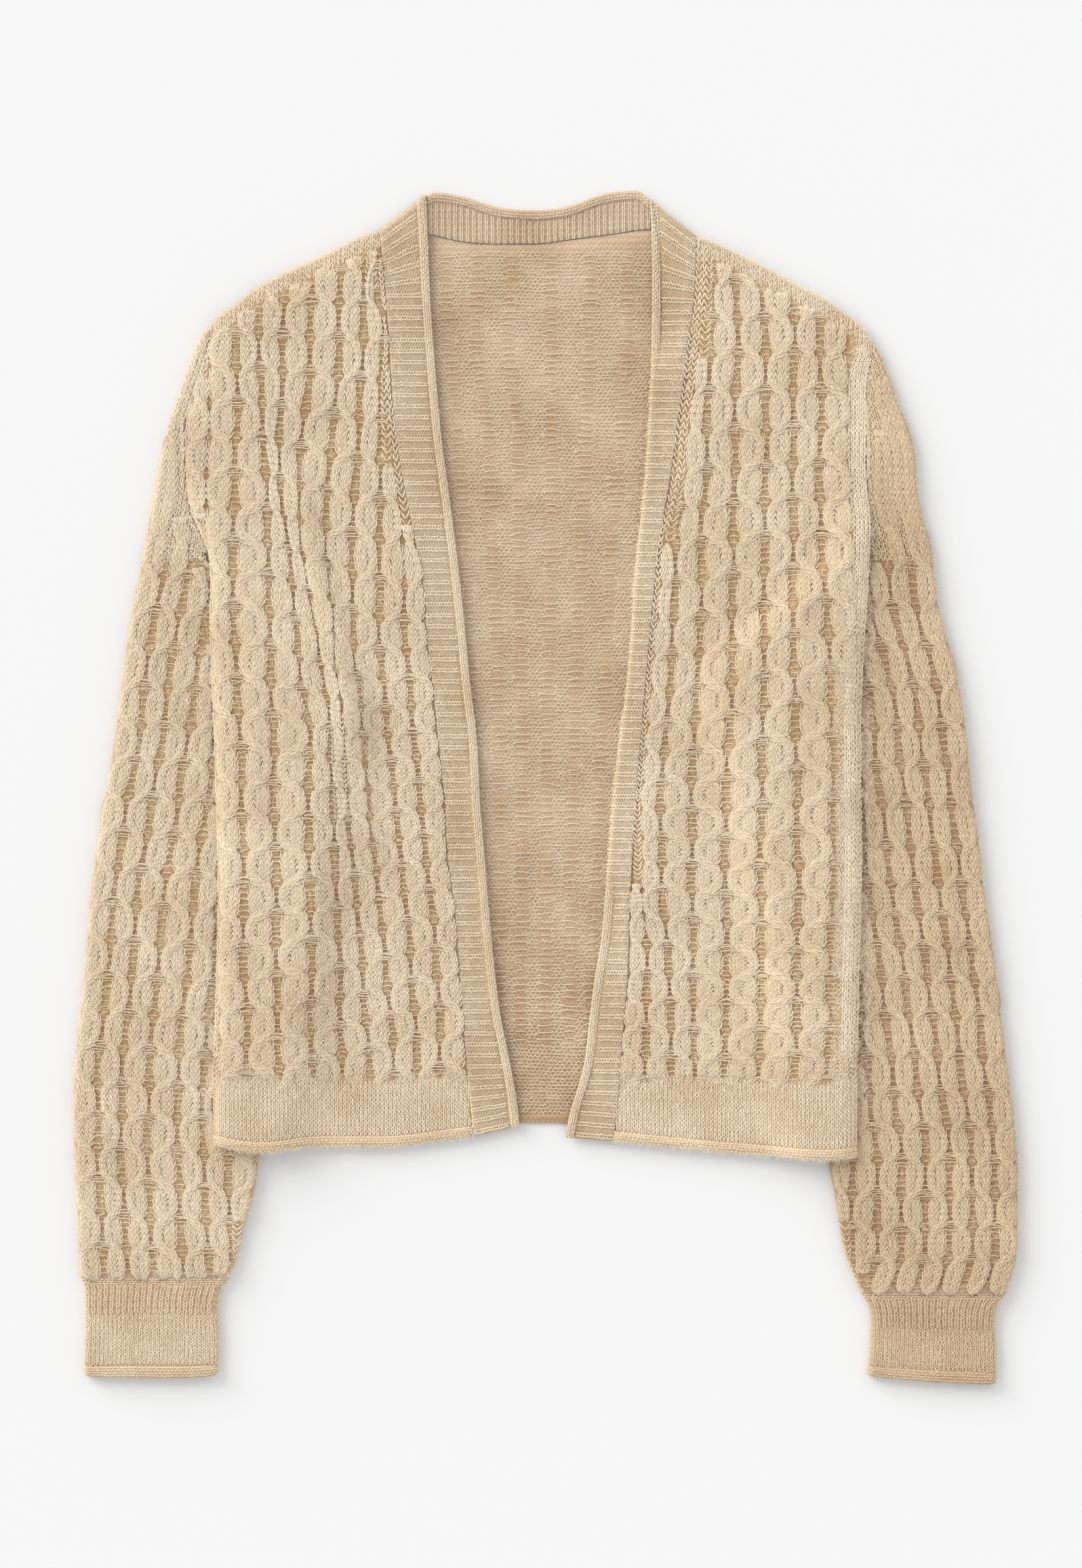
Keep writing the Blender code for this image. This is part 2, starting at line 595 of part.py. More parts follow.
def make_back():
    """The back: on the surface in the middle, on the sleeves at its sides."""
    levels = np.concatenate([np.arange(*level) for level in BACK_LEVELS])
    rows = [("hem", levels[0])]
    rows += [("level", level) for level in levels]
    rows += [("yoke", share) for share in YOKE_SHARES]
    grid = []
    for follows, value in rows:
        start = levels[-1] if follows == "yoke" else value
        ys = np.full(BACK_COLUMNS, float(start))
        for _ in range(COLUMN_ROUNDS):
            xs = back_columns(ys)
            if follows == "hem":
                ys = np.interp(xs, *np.array(BACK_HEM, float).T)
            elif follows == "yoke":
                seam = np.interp(xs, *np.array(BACK_TOP, float).T) - SEAM
                ys = levels[-1] + (seam - levels[-1]) * value
        grid.append(np.column_stack([xs, ys]))
    x, y = np.array(grid).transpose(2, 0, 1)
    under = back_under(x, y)
    outer = np.dstack([x, y, under + WALL])
    inner = np.dstack([x, y, under])
    knit_wall("back_panel", "back_panel", outer, inner, range(len(x)), range(x.shape[1]))
    return x[-1], y[-1]


def back_columns(y):
    """X of the back's columns, each at its own height."""
    beside = []
    for side in SIDES.values():
        sign = side["sign"]
        edge = along(side["side"], y) - sign * np.where(y > LIFT_TOP + 5.0, 0.0, TUCK)
        shore = np.where(y > LIFT_FULL, edge, along(side["inner"], y)) - sign * SHORE_IN
        shore = sign * np.minimum(sign * shore, sign * edge - SHORE_IN)
        down = [shore - sign * SHORE * share for share in (0.0, 0.34, 0.67, 1.0)]
        beside.append([edge] + down)
    middle = [np.full(len(y), value) for value in BACK_MIDDLE]
    columns = beside[0] + middle + beside[1][::-1]
    return np.array([column[k] for k, column in enumerate(columns)])


# ---------------------------------------------------------------- sleeves


def sleeve_rows(side, seam_rows):
    """Y of a sleeve's rows from the cuff up, and how many of them are closed rings."""
    numbers = np.arange(side["sleeve_waists"][-1][0], -0.01, -SLEEVE_STEP)
    table = np.array(side["sleeve_waists"], float)
    rows = np.interp(numbers, table[:, 0], table[:, 1])
    end = side["sleeve_end"] + 0.5 * SEAM
    top = side["outer"][0][0] - 3.0
    below = [end] + [y for y in rows if end + 5.0 < y < LIFT_FULL - 6.0] + [LIFT_FULL - 2.0]
    above = [y for y in sorted(seam_rows) if LIFT_FULL + 1.0 < y < top - 2.0]
    return np.array(below + above + [top]), len(below)


def sleeve_relief(side, x, y, strip, first, number):
    """Height of a sleeve's strand over its ladders: nothing under the body, low in the cap."""
    clear = (x - along(side["side"], y)) * side["sign"]
    hem = np.interp(x, *np.array(side["hem"], float).T)
    margin = 7.0 + 12.0 * eased(1.0 - abs(y - LIFT_FULL) / 24.0)
    shown = np.maximum(eased((clear - margin) / 5.0), eased((hem - 3.0 - y) / 6.0))
    flattened = 1.0 - 0.75 * eased((y - LIFT_FULL) / 40.0)
    return shown * flattened * lane_height(swing_of(number, strip, side["sleeve_parity"]), first)


def sleeve_columns(side, width, bend, number, near_inner):
    """The columns on a sleeve's upper side, as (distance from the outer edge, strip, strand or None).

    Each ladder keeps its distance from the outer edge until the inner edge or the armhole seam
    cuts it off; the ladders past that stand close together beside it.
    """
    ladders = side["sleeve_ladders"]
    room = width - near_inner
    pile = min(PILE, (room - bend) / (len(ladders) + 1))
    places = [min(offset, room - pile * (len(ladders) - k)) for k, offset in enumerate(ladders)]
    columns = [(places[0], 0, None)]
    for strip, (here, following) in enumerate(zip(places, places[1:])):
        swing = swing_of(number, strip, side["sleeve_parity"])
        for first in (True, False):
            columns.append((here + (following - here) * lane_place(swing, first), strip, first))
        columns.append((following, strip + 1, None))
    return columns


def make_sleeve(name, side, seam_x, seam_y):
    """A flattened tube from the cuff up, open above the underarm along the armhole seam."""
    rows, tube_rows = sleeve_rows(side, seam_y)
    table = np.array(side["sleeve_waists"], float)
    numbers = np.interp(-rows, -table[:, 1], table[:, 0])
    outer_rows, inner_rows, turned_rows = [], [], []
    for row, y in enumerate(rows):
        is_tube = row < tube_rows
        seam = np.interp(y, seam_y, seam_x) + side["sign"] * SEAM
        ring, core, turned = sleeve_ring(side, y, seam, is_tube, numbers[row])
        outer_rows.append(ring)
        inner_rows.append(core)
        turned_rows.append(turned)
    outer, inner = np.array(outer_rows), np.array(inner_rows)
    count = outer.shape[1]
    kept = [0, 1, 3, 5, 7] + list(range(10, count - 2, 6)) + [count - 2, count - 1]
    inner_kept = sorted(set(every(tube_rows, 3)) | set(range(tube_rows - 1, len(rows))))
    knit_wall(name, "sleeve", outer, inner, inner_kept, kept, tube_rows, np.array(turned_rows))


def sleeve_ring(side, y, seam, is_tube, number):
    """One row of a sleeve: its outer points, its inner points and its diagonals."""
    inward = -side["sign"]
    x_out = along(side["outer"], y)
    x_in = along(side["inner"], y) if is_tube else seam
    x_in_low = x_in if is_tube else along(side["side"], y) - inward * BACK_SEAM
    width = abs(x_in - x_out)
    high, middle = SLEEVE_HIGH, 0.5 * SLEEVE_HIGH
    bend = min(SLEEVE_BEND, width * 0.3)
    bend_in = bend if is_tube else 0.0
    near_inner = max(bend_in, 1.5)
    low_in = max(bend_in, 0.15 * width)
    low_core = max(bend_in + 0.6, 0.15 * width)
    wall_in = WALL if is_tube else 0.0
    centre = 0.5 * (x_in_low + x_out)
    thin = min(1.0, (width - bend - near_inner) / side["sleeve_ladders"][-1])
    core_bend = bend + 0.8 * thin
    points = [  # (x, z) of the outer side, then (x, z) of the inner side
        (x_in_low, middle if is_tube else 0.0, x_in_low - inward * wall_in, middle if is_tube else WALL),
        (x_in_low - inward * low_in, 0.0, x_in_low - inward * low_core, WALL),
        (centre, 0.0, centre, WALL),
        (x_out + inward * bend, 0.0, x_out + inward * core_bend, WALL),
        (x_out + inward * 0.25 * bend, 0.22 * high, x_out + inward * 0.8 * bend, WALL + 0.3),
        (x_out, middle, x_out + inward * 0.7 * bend, middle),
        (x_out + inward * 0.25 * bend, 0.8 * high, x_out + inward * 0.8 * bend, high - WALL - 0.3),
        (x_out + inward * bend, high, x_out + inward * core_bend, high - WALL),
    ]
    turned = [False] * len(points)
    for offset, strip, first in sleeve_columns(side, width, bend, number, near_inner):
        x = x_out + inward * offset
        lift = 0.0 if first is None else float(sleeve_relief(side, x, y, strip, first, number))
        points.append((x, high + lift, x, high - WALL))
        turned.append(bool(swing_of(number, strip, side["sleeve_parity"]) < 0))
    near = max(bend_in, 0.4)
    points.append((x_in - inward * near, high, x_in - inward * (near + 0.5 * bend_in), high - WALL))
    if is_tube:
        points.append((x_in, middle, x_in - inward * WALL, middle))
    else:
        points.append((x_in, high, x_in, high - WALL))
    turned += [False, False]
    outer = [(x, y, z) for x, z, _, _ in points]
    inner = [(x, y, z) for _, _, x, z in points]
    return outer, inner, turned


# ---------------------------------------------------------------- cuffs


def cuff_ring(high, top, ribbed, wide):
    """One row of a cuff, as (distance from the inner edge, height) of its outer and inner points."""
    bend, middle = SLEEVE_BEND, 0.5 * high
    outside = [(0.0, middle), (bend, 0.0), (bend + 0.5 * wide, 0.0), (bend + wide, 0.0)]
    outside += [(2 * bend + wide, middle)]
    inside = [(WALL, middle), (bend + 0.4, WALL), (bend + 0.5 * wide, WALL)]
    inside += [(bend + wide - 0.4, WALL), (2 * bend + wide - WALL, middle)]
    for k in range(2 * CUFF_RIBS + 1):
        across = bend + wide * (1.0 - k / (2 * CUFF_RIBS))
        outside.append((across, top + FINE_RIB * ribbed * (k % 2)))
        inside.append((across, high - WALL))
    return outside + outside[:1], inside + inside[:1]


def make_cuff(name, side):
    """A flattened ring: ribs below the sleeve, plain knitting, and a rolled end."""
    inward = -side["sign"]
    start = side["sleeve_end"] - 0.5 * SEAM
    high = SLEEVE_HIGH - 0.3
    outer_rows, inner_rows = [], []
    for share, ribbed, extra in reversed(CUFF_STEPS):
        y_out, y_in = [start + (end - start) * share for end in side["cuff_end"]]
        x_out, x_in = along(side["cuff_outer"], y_out), along(side["cuff_inner"], y_in)
        total = abs(x_out - x_in)
        rings = cuff_ring(high, high + extra, ribbed, total - 2 * SLEEVE_BEND)
        for offsets, rows in zip(rings, (outer_rows, inner_rows)):
            rows.append([
                (x_in - inward * across, y_in + (y_out - y_in) * across / total, z)
                for across, z in offsets
            ])
    outer, inner = np.array(outer_rows), np.array(inner_rows)
    count = outer.shape[1]
    kept = [0, 1, 2, 3, 4, 5] + list(range(15, count - 2, 10)) + [count - 2, count - 1]
    knit_wall(name, "cuff", outer, inner, [0, 4, len(outer) - 1], kept, len(outer))


# ---------------------------------------------------------------- bands


def band_heights(side):
    """Y of a front band's rows at its outer edge: a row on each rib and one in each furrow."""
    low = side["band_outer"][-1][0]
    top = side["band_outer"][0][0]
    count = round((top - low) / (0.5 * BAND_RIB))
    return np.linspace(low, top, count + 1)


def band_section(wide, under, lay, crest, curl):
    """One row of a band: (distance from its free edge, height) of its outer and inner points.

    `curl` is the share that is turned under: 0 lies flat with a rolled edge, 1 is folded round.
    """
    top = under + WALL
    half = 0.5 * ROLL_WIDE
    flat_top = [
        (wide, top + crest), (ROLL_WIDE + 0.3, lay + WALL + crest), (half, lay + WALL + ROLL),
        (0.3, lay + 0.6 * WALL), (0.3, lay + 0.5 * WALL),
    ]
    flat_low = [(wide, under), (ROLL_WIDE, lay), (half, lay), (0.9, lay), (0.8, lay)]
    tail = 2 * CURL + BAND_WIDE - wide - np.pi * (CURL - 0.5 * WALL)
    bottom = top - 2 * CURL
    turned_top = [
        (wide, top + crest), (CURL, top + crest), (-0.5 * crest, top - CURL), (CURL, bottom),
        (tail, bottom),
    ]
    turned_low = [
        (wide, under), (CURL, under), (WALL, top - CURL), (CURL, bottom + WALL), (tail, bottom + WALL),
    ]
    outside = np.array(flat_top) * (1.0 - curl) + np.array(turned_top) * curl
    inside = np.array(flat_low) * (1.0 - curl) + np.array(turned_low) * curl
    return outside, inside


def make_band(name, side):
    """A front band: ribs across it and a rolled inner edge; the wearer's left one curls under."""
    sign = side["sign"]
    ys = band_heights(side)
    low_gap = side["band_inner"][-1][0] - ys[0]
    top_gap = side["band_inner"][0][0] - ys[-1]
    outer_rows, inner_rows = [], []
    for row, y in enumerate(ys):
        share = BAND_ENDS * (y - ys[0]) / (ys[-1] - ys[0])
        slant = low_gap * (1.0 - eased(share)) + top_gap * eased(share - BAND_ENDS + 1.0)
        x_seam = along(side["band_outer"], y)
        x_edge = along(side["band_inner"], y + slant)
        wide = abs(x_seam - x_edge)
        under = float(front_under(side, np.array(x_seam + sign * SEAM), np.array(y)))
        lay = back_level(x_edge, y) + 0.5
        curl = eased(along(side["band_curl"], y))
        sections = band_section(wide, under, lay, RIB * (row % 2), curl)
        for section, rows in zip(sections, (outer_rows, inner_rows)):
            across, z = section.T
            lean = slant * (1.0 - np.clip(across / wide, 0.0, 1.0))
            rows.append(np.column_stack([x_edge + sign * across, y + lean, z]))
    outer, inner = np.array(outer_rows), np.array(inner_rows)
    knit_wall(name, "front_band", outer, inner, every(len(ys), 4), range(5))


def back_level(x, y):
    """Height of the back's upper side at one point."""
    return float(back_under(np.array(float(x)), np.array(float(y)))) + WALL


def make_neck_band(back_x, back_y):
    """The band behind the neck, seen from its inner side: upright ribs and a rolled top edge."""
    start, end = (along(side["band_inner"], NECK_START) - side["sign"] * NECK_SIDE for side in SIDES.values())
    xs = np.linspace(start, end, 2 * NECK_RIBS + 1)
    seam = np.interp(xs, back_x, back_y) + 2 * SEAM
    top = np.interp(xs, *np.array(NECK_TOP, float).T)
    rolled = top - NECK_ROLL
    crest = FINE_RIB * (np.arange(len(xs)) % 2)
    level = np.zeros(len(xs))
    rows = [
        (seam, WALL + 0.2 * crest), (seam + 2.0, WALL + crest), (rolled - 1.0, WALL + crest),
        (rolled, WALL + level), (rolled + 0.5 * NECK_ROLL, WALL + ROLL + level), (top, NECK_TIP + level),
    ]
    outer = np.array([np.column_stack([xs, y, z]) for y, z in rows])
    inner = outer.copy()
    inner[:, :, 2] = 0.0
    knit_wall("neck_band", "neck_band", outer, inner, [0, 2, 5], every(len(xs), 6))


# ---------------------------------------------------------------- the garment


def clear_scene():
    for thing in list(bpy.data.objects):
        bpy.data.objects.remove(thing, do_unlink=True)
    collection = bpy.data.collections.new(COLLECTION)
    bpy.context.scene.collection.children.link(collection)


def centre_pieces():
    """Puts the origin under the middle of the garment's box, on the surface that it lies on."""
    meshes = [piece.data for piece in bpy.data.collections[COLLECTION].objects]
    corners = np.array([vertex.co for mesh in meshes for vertex in mesh.vertices])
    low, high = corners.min(axis=0), corners.max(axis=0)
    shift = mathutils.Vector((-(low[0] + high[0]) / 2, -(low[1] + high[1]) / 2, -low[2]))
    for mesh in meshes:
        mesh.transform(mathutils.Matrix.Translation(shift))


def main():
    clear_scene()
    make_neck_band(*make_back())
    for which, side in SIDES.items():
        x, y = make_front(f"front_panel_{which}", side)
        edge = 0 if side["sign"] < 0 else -1
        make_sleeve(f"sleeve_{which}", side, x[:, edge], y[:, edge])
        make_cuff(f"cuff_{which}", side)
        make_band(f"front_band_{which}", side)
    centre_pieces()


main()
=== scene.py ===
"""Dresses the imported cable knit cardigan: cables, ladders, ribs and rolled edges in brushed wool.

Lengths are millimetres in the garment's own frame unless noted: X to the wearer's left, Y from the
hem to the neck, Z up from the surface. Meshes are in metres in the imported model's frame.
"""

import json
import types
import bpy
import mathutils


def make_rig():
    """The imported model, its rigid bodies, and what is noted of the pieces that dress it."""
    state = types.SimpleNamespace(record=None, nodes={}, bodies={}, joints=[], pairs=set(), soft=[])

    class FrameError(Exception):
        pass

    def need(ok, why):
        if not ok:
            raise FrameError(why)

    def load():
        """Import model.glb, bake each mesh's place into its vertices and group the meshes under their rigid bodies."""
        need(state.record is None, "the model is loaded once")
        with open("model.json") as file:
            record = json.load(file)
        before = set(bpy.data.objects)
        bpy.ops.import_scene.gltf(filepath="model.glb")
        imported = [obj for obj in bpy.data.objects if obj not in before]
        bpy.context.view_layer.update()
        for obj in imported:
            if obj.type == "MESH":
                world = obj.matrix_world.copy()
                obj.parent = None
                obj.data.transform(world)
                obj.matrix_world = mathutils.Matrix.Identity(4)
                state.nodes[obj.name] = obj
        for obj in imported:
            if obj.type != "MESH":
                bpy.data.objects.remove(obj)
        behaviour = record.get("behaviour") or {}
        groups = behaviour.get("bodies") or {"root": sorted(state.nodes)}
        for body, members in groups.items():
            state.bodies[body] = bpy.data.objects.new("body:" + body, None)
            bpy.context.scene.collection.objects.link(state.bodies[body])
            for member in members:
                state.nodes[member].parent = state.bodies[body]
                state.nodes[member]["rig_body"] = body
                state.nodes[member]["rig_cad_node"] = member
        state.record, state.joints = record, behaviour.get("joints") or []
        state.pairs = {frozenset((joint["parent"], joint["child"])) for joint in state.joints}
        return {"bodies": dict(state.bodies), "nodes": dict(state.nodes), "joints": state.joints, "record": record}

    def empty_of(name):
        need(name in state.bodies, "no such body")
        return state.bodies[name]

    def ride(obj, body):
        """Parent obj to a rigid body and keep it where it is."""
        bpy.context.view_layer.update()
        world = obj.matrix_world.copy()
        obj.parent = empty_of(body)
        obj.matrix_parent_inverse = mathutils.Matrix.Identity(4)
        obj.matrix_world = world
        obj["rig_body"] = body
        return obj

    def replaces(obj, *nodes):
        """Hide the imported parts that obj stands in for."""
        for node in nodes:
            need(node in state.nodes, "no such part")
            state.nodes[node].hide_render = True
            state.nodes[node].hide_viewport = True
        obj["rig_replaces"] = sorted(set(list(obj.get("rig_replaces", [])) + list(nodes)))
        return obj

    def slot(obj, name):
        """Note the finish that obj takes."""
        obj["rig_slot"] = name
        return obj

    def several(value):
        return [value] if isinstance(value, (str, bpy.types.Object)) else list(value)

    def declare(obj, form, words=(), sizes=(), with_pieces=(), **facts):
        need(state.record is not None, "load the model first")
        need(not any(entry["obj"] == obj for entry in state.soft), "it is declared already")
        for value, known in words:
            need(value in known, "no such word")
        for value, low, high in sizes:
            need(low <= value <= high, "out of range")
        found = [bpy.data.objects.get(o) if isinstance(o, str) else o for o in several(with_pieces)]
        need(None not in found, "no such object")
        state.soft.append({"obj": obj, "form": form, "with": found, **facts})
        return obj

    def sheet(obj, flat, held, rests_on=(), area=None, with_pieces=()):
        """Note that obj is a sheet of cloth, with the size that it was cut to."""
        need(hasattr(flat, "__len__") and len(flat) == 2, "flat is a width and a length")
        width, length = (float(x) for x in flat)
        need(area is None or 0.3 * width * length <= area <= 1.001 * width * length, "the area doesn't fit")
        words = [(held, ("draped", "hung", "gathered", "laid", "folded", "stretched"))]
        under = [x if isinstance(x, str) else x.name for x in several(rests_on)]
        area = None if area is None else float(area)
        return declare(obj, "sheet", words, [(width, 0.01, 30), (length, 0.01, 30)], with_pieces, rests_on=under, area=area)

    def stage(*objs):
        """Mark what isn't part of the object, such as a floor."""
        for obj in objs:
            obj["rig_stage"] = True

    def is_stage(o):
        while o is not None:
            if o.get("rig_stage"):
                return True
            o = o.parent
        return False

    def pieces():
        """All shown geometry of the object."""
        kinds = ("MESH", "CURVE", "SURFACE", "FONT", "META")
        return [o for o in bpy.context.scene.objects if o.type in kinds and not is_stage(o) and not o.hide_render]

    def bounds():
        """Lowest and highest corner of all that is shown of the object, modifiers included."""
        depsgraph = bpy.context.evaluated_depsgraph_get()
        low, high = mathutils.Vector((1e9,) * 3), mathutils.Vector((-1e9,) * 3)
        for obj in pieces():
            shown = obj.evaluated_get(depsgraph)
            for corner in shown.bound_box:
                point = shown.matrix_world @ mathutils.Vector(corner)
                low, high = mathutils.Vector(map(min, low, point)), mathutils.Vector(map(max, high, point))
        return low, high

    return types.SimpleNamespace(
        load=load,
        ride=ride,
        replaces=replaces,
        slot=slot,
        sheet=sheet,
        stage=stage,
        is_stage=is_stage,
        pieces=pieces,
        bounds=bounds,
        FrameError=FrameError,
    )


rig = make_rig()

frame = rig.load()

import json
import logging
import math
from dataclasses import dataclass
from enum import Enum
from typing import Callable, Iterator, Optional, Sequence, Union

import bpy
import numpy as np

LOG = logging.getLogger("cardigan")
MM = 0.001
SHIFT = (-0.25, 0.2, 0.0)  # from the tables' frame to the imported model's
SEED = 20261

WALL = 2.2  # thickness of a knitted wall
SEAM = 0.3  # air between two layers at a seam
OVER_SLEEVE = 6.9  # height of the back's underside where it lies on a sleeve
SLEEVE_HIGH = 6.5  # thickness of a flattened sleeve
SHORE = 32.0  # over what distance the back comes down from the sleeve
PUFF = 2.9  # air under a front
FOLD = 9.0  # width of the rounding at a front's folded side
SHOULDER = 11.0  # width of the rounding at the shoulder seam
EDGE_HIGH = 0.8  # height of a front's folded edge over its underside
BESIDE = 4.0  # how far inside the sleeve's inner edge the back starts to come down
LIFT_TOP = 185.0  # Y where the body starts to rise on the sleeve
LIFT_FULL = 139.0  # Y below which it lies on the sleeve
HEM_TOP = -175.0  # Y of the cables' lower end
COURSES = 11.0  # courses of knitting in one cable period
WALE = 2.9  # from one wale to the next
COURSE = 3.7  # from one course to the next
YARN = 0.44  # half the width of a cable's yarn
RUNG = 0.28  # half the width of a ladder's rungs
DASH_LONG = 1.5  # length of a stitch across a rolled edge
SEAM_Y = 0.15  # half the air between a sleeve and its cuff
SPARE = 6  # places drawn for every loose fibre kept
FAR = 99.0  # more than any distance to an edge
OPEN, CLOSED = 400.0, -400.0  # Y above and below the garment, for ladders open or closed all along

Table = Sequence[Sequence[float]]
Span = tuple[float, float]  # where something starts and ends
Array = np.ndarray
Chance = np.random.Generator  # a seeded source of unevenness
Socket = bpy.types.NodeSocket
Piece = bpy.types.Object
Curve = Callable[[Array], Array]  # one coordinate from the other
At = Callable[[Array, Array, Array], Array]  # places from wales across, courses along and a rise


# ---- measured outlines


@dataclass(frozen=True)
class SideTables:
    """One side of the garment as measured. Outlines are rows of (Y, X) unless noted."""

    name: str
    sign: int
    outer: Table  # the sleeve's outer edge
    inner: Table  # the sleeve's inner edge, under the body down to the hem
    side: Table  # the armhole seam, then the body's folded side
    shoulder: Table  # (X, Y)
    hem: Table  # (X, Y)
    band_outer: Table
    band_inner: Table
    band_curl: Table  # (Y, share of the band turned under)
    band_lift: Table  # (Y, air under the front at the band)
    ladders: Table  # (Y, X of each ladder)
    ladder_tops: Sequence[float]  # Y above which each ladder is closed
    waists_at: Sequence[float]  # X of the three columns of waists
    waists: Table  # (cable number, Y at three places across)
    sleeve_ladders: Sequence[float]  # distance of each ladder from the outer edge
    sleeve_parity: int  # of the ladders where the strands meet at whole cable numbers
    sleeve_tilt: float  # how far a course drops for each millimetre to +X
    sleeve_waists: Table  # (cable number, Y)
    sleeve_end: float
    cuff_outer: Table
    cuff_inner: Table
    cuff_end: Sequence[float]
    ridges: Table  # soft folds: (X0, Y0, X1, Y1, width, height)
    sleeve_ridges: Table


RIGHT = SideTables(
    name="right",
    sign=-1,
    outer=(
        (271, -200.5), (265, -204), (245, -212), (221, -220), (197, -227), (163, -233.5),
        (135, -238),
        (93, -246), (53, -251.5), (17, -256.5), (-19, -262.5), (-55, -268), (-103, -272),
        (-143, -276),
        (-175, -278.5), (-211, -278.5), (-251, -277), (-290.5, -274.5),
    ),
    inner=(
        (137, -202), (113, -182), (65, -134), (-15, -143.5), (-95, -154), (-191, -166),
        (-215.5, -169),
        (-239, -172.5), (-259, -178), (-283, -184.5), (-290.5, -188),
    ),
    side=(
        (274, -197), (259, -199.5), (238.5, -206), (225, -210), (214.5, -212.5), (198, -212.5),
        (165, -209.5), (139, -199), (93, -198), (47, -196), (-14.5, -194), (-54, -193),
        (-127, -194.5),
        (-175, -196), (-212, -196),
    ),
    shoulder=(
        (-197, 274), (-194.5, 277), (-183, 285), (-174, 293), (-160, 301), (-142.5, 309),
        (-126, 317),
        (-110, 325), (-98, 329.5),
    ),
    hem=((-196, -211), (-168, -215), (-136, -212), (-95.5, -212), (-42, -206)),
    band_outer=(
        (329.5, -98), (293, -94.5), (257, -92), (225, -90), (193, -86), (149, -77.5), (119, -72),
        (89, -70), (59, -66.5), (29.5, -63.5), (-8, -59.5), (-37, -58), (-65, -54.5), (-117, -50),
        (-165.5, -46.5), (-191.5, -44), (-206, -42),
    ),
    band_inner=(
        (350, -71), (323, -70), (204.5, -61), (179, -57.5), (119, -50), (59, -44), (29.5, -40.5),
        (-8, -38.5), (-50.5, -35), (-96.5, -31), (-137, -26), (-154, -22.5), (-173, -19),
        (-200, -15.5),
    ),
    band_curl=((350, 0), (-210, 0)),
    band_lift=((350, 0.9), (-210, 0.9)),
    ladders=(
        (305, -183.5, -170, -154, -137.5, -120.5, -106, -99.5, -98),
        (265, -182.5, -168.5, -154.5, -139, -122, -107.5, -95.5, -93.5),
        (225, -182, -167.5, -156, -141, -124, -109.5, -97, -92.5),
        (185, -183, -165, -157, -145.5, -128, -112, -97.5, -89),
        (145, -184, -163.5, -152, -144, -130, -114, -98, -84),
        (105, -183.5, -162, -148, -137.5, -126.5, -114, -98, -83.5),
        (65, -182, -161, -143.5, -130.5, -122.5, -112, -96, -80.5),
        (25, -179.5, -160, -138, -126, -118, -108, -92, -76.5),
        (-15, -178, -160, -139.5, -124.5, -116, -104.5, -88.5, -73),
        (-55, -177, -158, -139, -123.5, -112, -99, -84, -69),
        (-95, -178, -158, -137.5, -122, -109, -95, -80, -65),
        (-135, -176, -157.5, -138, -121, -106, -91, -77, -62.5),
        (-175, -175.5, -156.5, -137, -120, -103.5, -89.5, -75, -62),
    ),
    ladder_tops=(OPEN,) * 7 + (125,),
    waists_at=(-166, -106, -73),
    waists=(
        (0, 333, 335, 335), (1, 295, 293, 292), (2, 255, 249, 247), (3, 213, 201, 199),
        (4, 171.5, 155, 151), (5, 133, 109, 105), (6, 93, 69, 70), (7, 51, 35, 39), (8, 10, 3, 9),
        (9, -30, -29, -22.5), (10, -69.5, -63, -55), (11, -106.5, -98, -88.5),
        (12, -143, -133, -124.5),
        (13, -180, -167, -159), (14, -217, -202.5, -194.5),
    ),
    sleeve_ladders=(14.5, 28.5, 44, 61.5, 76.5, 91),
    sleeve_parity=1,
    sleeve_waists=(
        (0, 180), (1, 135), (2, 89.5), (3, 45.5), (4, 1.5), (5, -41), (6, -84), (7, -127),
        (8, -168.5),
        (9, -207.5), (10, -246.5), (11, -285),
    ),
    sleeve_end=-290.5,
    cuff_outer=((-290.5, -274.5), (-296, -272), (-331, -272), (-348.4, -272.5)),
    cuff_inner=((-290.5, -188), (-296, -191.5), (-331, -193.5), (-348.4, -194)),
    cuff_end=(-348.4, -348.4),
    sleeve_tilt=0.07,
    ridges=(
        (-146, 190, -101, -50, 13, 2.3), (-176, 120, -168, -60, 10, 1),
        (-158, 60, -128, -150, 11, 0.9),
    ),
    sleeve_ridges=(
        (-226, 150, -252, -40, 12, 1.4), (-262, -60, -232, -190, 12, 1.2),
        (-214, 120, -222, 30, 9, 1.2), (-250, -120, -262, -250, 10, 1),
    ),
)
